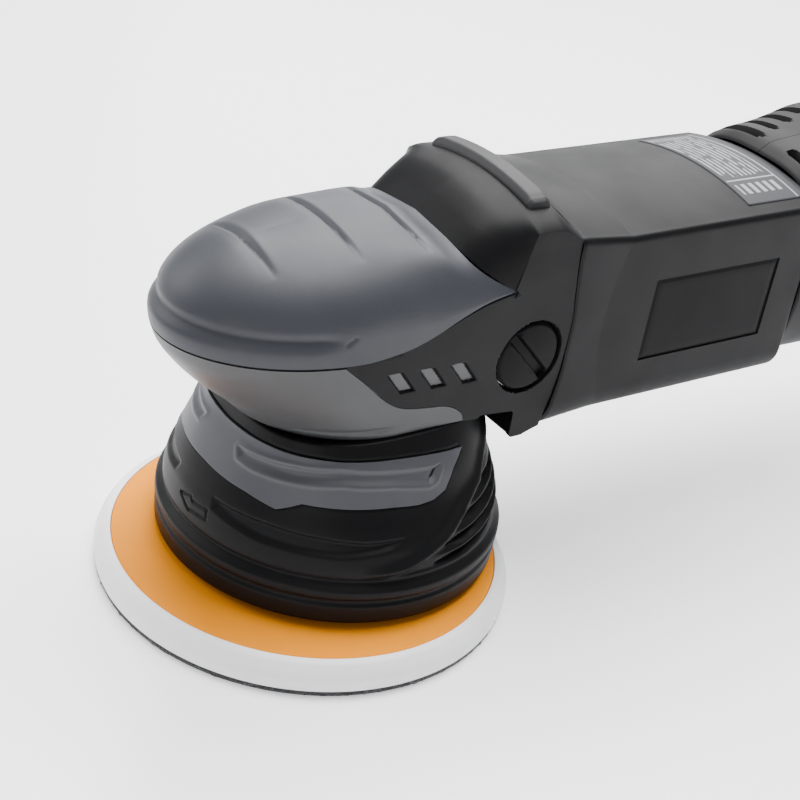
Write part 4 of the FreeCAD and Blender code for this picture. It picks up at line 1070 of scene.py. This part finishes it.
# ---------------------------------------------------------------- rear handle
grip_top = smooth_line([(181, 139.9), (188, 143.6), (203, 145.3), (217, 147.9), (228, 150.3), (239, 151.0),
                        (250, 149.2),
                        (275, 139.0), (300, 131.0), (320, 125.5), (GRIP_END, 119.0)])
grip_low = smooth_line([(181, 60.3), (205, 60.2), (228, 64.0), (250, 72.0), (275, 76.0), (300, 76.0),
                        (320, 75.2),
                        (GRIP_END, 80.0)])
grip_half = smooth_line([(181, 37.9), (205, 38.8), (228, 39.8), (250, 35.4), (275, 29.4), (300, 28.0),
                         (320, 26.6),
                         (GRIP_END, 20.0)])


def make_grip(name, node, side):
    y = np.concatenate([[BARREL_END + 0.2, BARREL_END + 0.35, BARREL_END + 0.7],
                        even(BARREL_END + 1.3, 226, 0.62), even(228, GRIP_END - 6, 2.2),
                        GRIP_END - 6 + 6 * np.sin(np.linspace(0.15, math.pi / 2, 9))])
    turn = np.linspace(-math.pi / 2, math.pi / 2, 150)
    power = 0.66
    a, b = np.meshgrid(y, turn, indexing="ij")
    c = np.cos(b)
    s = np.sin(b)
    top = grip_top(a)
    bottom = grip_low(a)
    half = grip_half(a)
    dome = np.sqrt(np.clip(1 - np.clip((a - GRIP_END + 6) / 6.6, 0, 1) ** 2, 0, 1))
    chamfer = 0.5 * hump(a - BARREL_END, 0.6)
    height = ((top - bottom) / 2 - chamfer) * mix(0.72, 1.0, dome)
    x = (half - chamfer) * mix(0.72, 1.0, dome) * np.abs(c) ** power
    z = (top + bottom) / 2 + height * np.sign(s) * np.abs(s) ** power
    # air slots across the top
    cut = np.zeros_like(x)
    for step in range(4):
        y0 = BARREL_END + 7.5 + 10.0 * step
        start = (9.0 if side > 0 else 6.0) + 2.4 * step
        line = distance_to_line(x, a, [(start + 2, y0), (34.5, y0)])
        cut = np.maximum(cut, (1 - ease(1.5, 2.2, line)) * (s > 0.2))
    z = z - 3.4 * cut
    x = x - 2.4 * cut * (x / half) ** 3
    # shallow waist lines along the rubber of the grip
    for step in range(9):
        y0 = 250 + 7.0 * step
        x -= 0.45 * hump(a - y0 - 0.12 * (z - 100), 1.0) * hump(z - 100, 16) * ease(244, 250, a)
    # mouth of the trigger and the dial
    mouth = pocket(x, a, [(-1, 236.6), (11.2, 236.6), (11.2, 303.4), (-1, 303.4)], 0.4) * (s < -0.3)
    z = z + 13.0 * mouth
    dial = pocket(x, a, [(-1, 296.2), (4.6, 296.2), (4.6, 311.8), (-1, 311.8)], 0.5) * (s > 0.5)
    z = z - 4.5 * dial
    x = np.maximum(x, 0) + 0.1
    # the rear wall closes down to the cord's boot
    collar = high("cord_gland")[0] - 1.6
    axis_z = (low("cord_gland")[2] + high("cord_gland")[2]) / 2
    wall_rows = []
    for share in (0.06, 0.14, 0.4, 0.7, 1.0):
        wall_rows.append(np.stack([mix(x[-1], collar * c[-1] + 0.1, share), a[-1] + 0.35 * min(1, share * 7),
                                   mix(z[-1], axis_z + collar * s[-1], share)], -1))
    x_y_z = np.concatenate([np.stack([x, a, z], -1), np.stack(wall_rows)], 0)
    piece = skin(name, x_y_z * [side, 1, 1], (0, 240, 100))
    weld(piece, 0.03)
    wall(piece, 2.0)
    soften(piece, 0.25, 2, 50)
    dress(piece, "body", BLACK, "black_shell", node)


def make_paddle():
    front = low("trigger")[1]
    rear = high("trigger")[1]
    half = high("trigger")[0]
    start = front + 0.2
    y = np.concatenate([start + 4 * (1 - np.cos(np.linspace(0.2, math.pi / 2, 7))),
                        even(start + 5, rear - 4, 1.6),
                        rear - 4 + 4 * np.sin(np.linspace(0.15, math.pi / 2 - 0.15, 7))])
    under = smooth_line([(front, 75.0), (front + 4, 72.9), (front + 14, 68.2), (front + 27, 66.4),
                         (front + 42, 67.9), (front + 52, 70.2),
                         (rear, 73.5)])
    over = smooth_line([(front, 79.5), (front + 6, 80.4), (rear - 3, 78.8), (rear, 77.2)])
    rings = []
    for yi in y:
        lip = min(1.0, math.sqrt(max(0.02, min(yi - front, rear - yi) / 4.0)))
        bottom = mix(77.0, float(under(yi)), lip)
        top = mix(77.0, float(over(yi)), lip)
        wave = 0.45 * math.cos((yi - front) * 2 * math.pi / 7.5) * ease(front + 8, front + 14,
                                                            yi) * (1 - ease(rear - 14, rear - 8, yi))
        outline = round_profile([(-half * lip, top), (-half * lip, bottom + 2.2),
                                 (-half * lip * 0.8, bottom + wave),
                                 (half * lip * 0.8, bottom + wave), (half * lip, bottom + 2.2),
                                 (half * lip, top)],
                                [0.8, 2.0, 2.0, 2.0, 2.0, 0.8], 5)
        rings.append([(px, yi, pz) for px, pz in outline])
    piece = closed_sweep("squeeze_paddle", np.array(rings))
    dress(piece, "trigger", BLACK_SOFT, "black_rubber", "trigger")


def make_boot():
    start = low("cord_gland")[1]
    end = high("cord_gland")[1]
    axis_z = (low("cord_gland")[2] + high("cord_gland")[2]) / 2
    flange = GRIP_END + 0.2
    profile = [(4.05, start), (6.9, start), (6.9, flange), (9.0, flange), (9.0, flange + 4.2),
               (8.2, flange + 5.4)]
    y = flange + 5.4
    radius = 7.4
    while y < end - 2.4:
        profile += [(radius - 0.9, y + 0.5), (radius - 0.9, y + 1.2), (radius, y + 1.5), (radius, y + 2.5)]
        y += 2.4
        radius -= 0.28
    profile += [(5.6, end - 0.6), (5.0, end), (4.05, end)]
    grid = turned(profile, "y", (0, 0, axis_z), 72)
    piece = skin("strain_boot", grid, wrap_rows=True, wrap_columns=True, centre=(0, start, axis_z))
    fix_closed(piece)
    soften(piece, 0.2, 2, 40)
    dress(piece, "body", BLACK_SOFT, "black_rubber", "cord_gland")


# ---------------------------------------------------------------- CAD pieces that stay
def finish_cad():
    lathe = (1, 1, 12)
    palette = {
        "steel": metal("machined_steel", (0.58, 0.58, 0.60), 0.32, lathe),
        "dark_steel": metal("black_oxide_steel", (0.10, 0.10, 0.105), 0.42),
        "bearing_steel": metal("ground_bearing_steel", (0.68, 0.68, 0.70), 0.22, lathe),
        "counterweight_iron": metal("cast_iron", (0.20, 0.20, 0.205), 0.55, scale=700, strength=0.5),
        "cast_aluminium": metal("cast_aluminium", (0.63, 0.64, 0.66), 0.5, scale=900, strength=0.35),
        "laminated_steel": metal("laminated_steel", (0.36, 0.36, 0.37), 0.45, (1, 40, 1), 60, 0.5),
        "copper": metal("enamelled_copper", (0.62, 0.25, 0.10), 0.35, (1, 14, 1), 300, 0.4),
        "fan_plastic": moulded("dark_nylon", (0.06, 0.06, 0.065), 0.5),
        "brown_insulator": moulded("phenolic_brown", (0.16, 0.06, 0.02), 0.45),
        "carbon": moulded("pressed_carbon", (0.02, 0.02, 0.02), 0.65, 2400, 0.5),
        "board_green": moulded("board_green", (0.015, 0.12, 0.05), 0.35),
        "plug_black": GLOSSY, "black_rubber": BLACK_SOFT, "black_shell": BLACK}
    slots = {row["node"]: row["material_slot"] for row in frame["record"]["subparts"]}
    for node, piece in frame["nodes"].items():
        made = palette.get(slots.get(node))
        if made is None or piece.hide_render:
            continue
        for entry in piece.material_slots:
            entry.material = made
        if not piece.material_slots:
            piece.data.materials.append(made)


# ---------------------------------------------------------------- camera, floor and light
def set_camera():
    """Camera from 50 degrees round and 30 degrees up, rolled 10 degrees."""
    turn = math.radians(50.28)
    rise = math.radians(29.78)
    roll = math.radians(10.12)
    ahead = Vector((-math.sin(turn) * math.cos(rise), math.cos(turn) * math.cos(rise), -math.sin(rise)))
    level = Vector((math.cos(turn), math.sin(turn), 0))
    upright = level.cross(ahead)
    right = level * math.cos(roll) + upright * math.sin(roll)
    up = upright * math.cos(roll) - level * math.sin(roll)
    lens = bpy.data.cameras.new("camera")
    lens.lens = 73.85
    lens.sensor_width = 36.0
    lens.clip_end = 20
    camera = bpy.data.objects.new("camera", lens)
    camera.matrix_world = Matrix.Translation((0.3943, -0.3021, 0.3528)) @ Matrix((right, up,
                                                            -ahead)).transposed().to_4x4()
    bpy.context.scene.collection.objects.link(camera)
    bpy.context.scene.camera = camera


def area_light(name, place, target, size, power):
    lamp = bpy.data.lights.new(name, "AREA")
    lamp.energy = power
    lamp.shape = "RECTANGLE"
    lamp.size = size
    lamp.size_y = size
    thing = bpy.data.objects.new(name, lamp)
    thing.location = place
    thing.rotation_euler = (Vector(target) - Vector(place)).to_track_quat("-Z", "Y").to_euler()
    bpy.context.scene.collection.objects.link(thing)


def set_stage():
    mesh = bpy.data.meshes.new("floor")
    mesh.from_pydata([(-6, -6, -0.0002), (6, -6, -0.0002), (6, 6, -0.0002), (-6, 6, -0.0002)], [],
                     [(0, 1, 2, 3)])
    floor = bpy.data.objects.new("floor", mesh)
    bpy.context.scene.collection.objects.link(floor)
    made, nodes, links, surface = shader("floor_white", (0.88, 0.88, 0.89), 0.26, Emission_Strength=0.6)
    surface.inputs["Emission Color"].default_value = (1, 1, 1, 1)
    vary_rough(nodes, links, surface, 1.5, 0.25, 0.28)
    mesh.materials.append(made)
    world = bpy.data.worlds.new("studio")
    bpy.context.scene.world = world
    world.use_nodes = True
    world.node_tree.nodes["Background"].inputs["Color"].default_value = (0.93, 0.95, 1.0, 1)
    world.node_tree.nodes["Background"].inputs["Strength"].default_value = 0.4
    area_light("top_soft", (-0.35, 0.45, 1.6), (0, 0.05, 0.1), 1.5, 100)
    area_light("back_soft", (-1.15, 1.15, 0.95), (0, 0.05, 0.08), 1.3, 22)
    area_light("left_soft", (-1.0, -0.8, 0.8), (0, 0, 0.08), 0.9, 13)
    area_light("front_low", (1.0, -1.1, 0.5), (0, 0.05, 0.08), 0.7, 4)


set_camera()
set_stage()
make_crown()
make_neck()
make_head_frame()
make_underside()
make_brow()
make_plug("plug_cap_left", "side_plug_left", 1)
make_plug("plug_cap_right", "side_plug_right", -1)
make_barrel()
make_badge("badge_plate_left", "badge_left", 1)
make_badge("badge_plate_right", "badge_right", -1)
make_label()
make_skirt()
make_band()
make_plate()
make_grip("grip_half_left", "handle_left", 1)
make_grip("grip_half_right", "handle_right", -1)
make_paddle()
make_boot()
finish_cad()
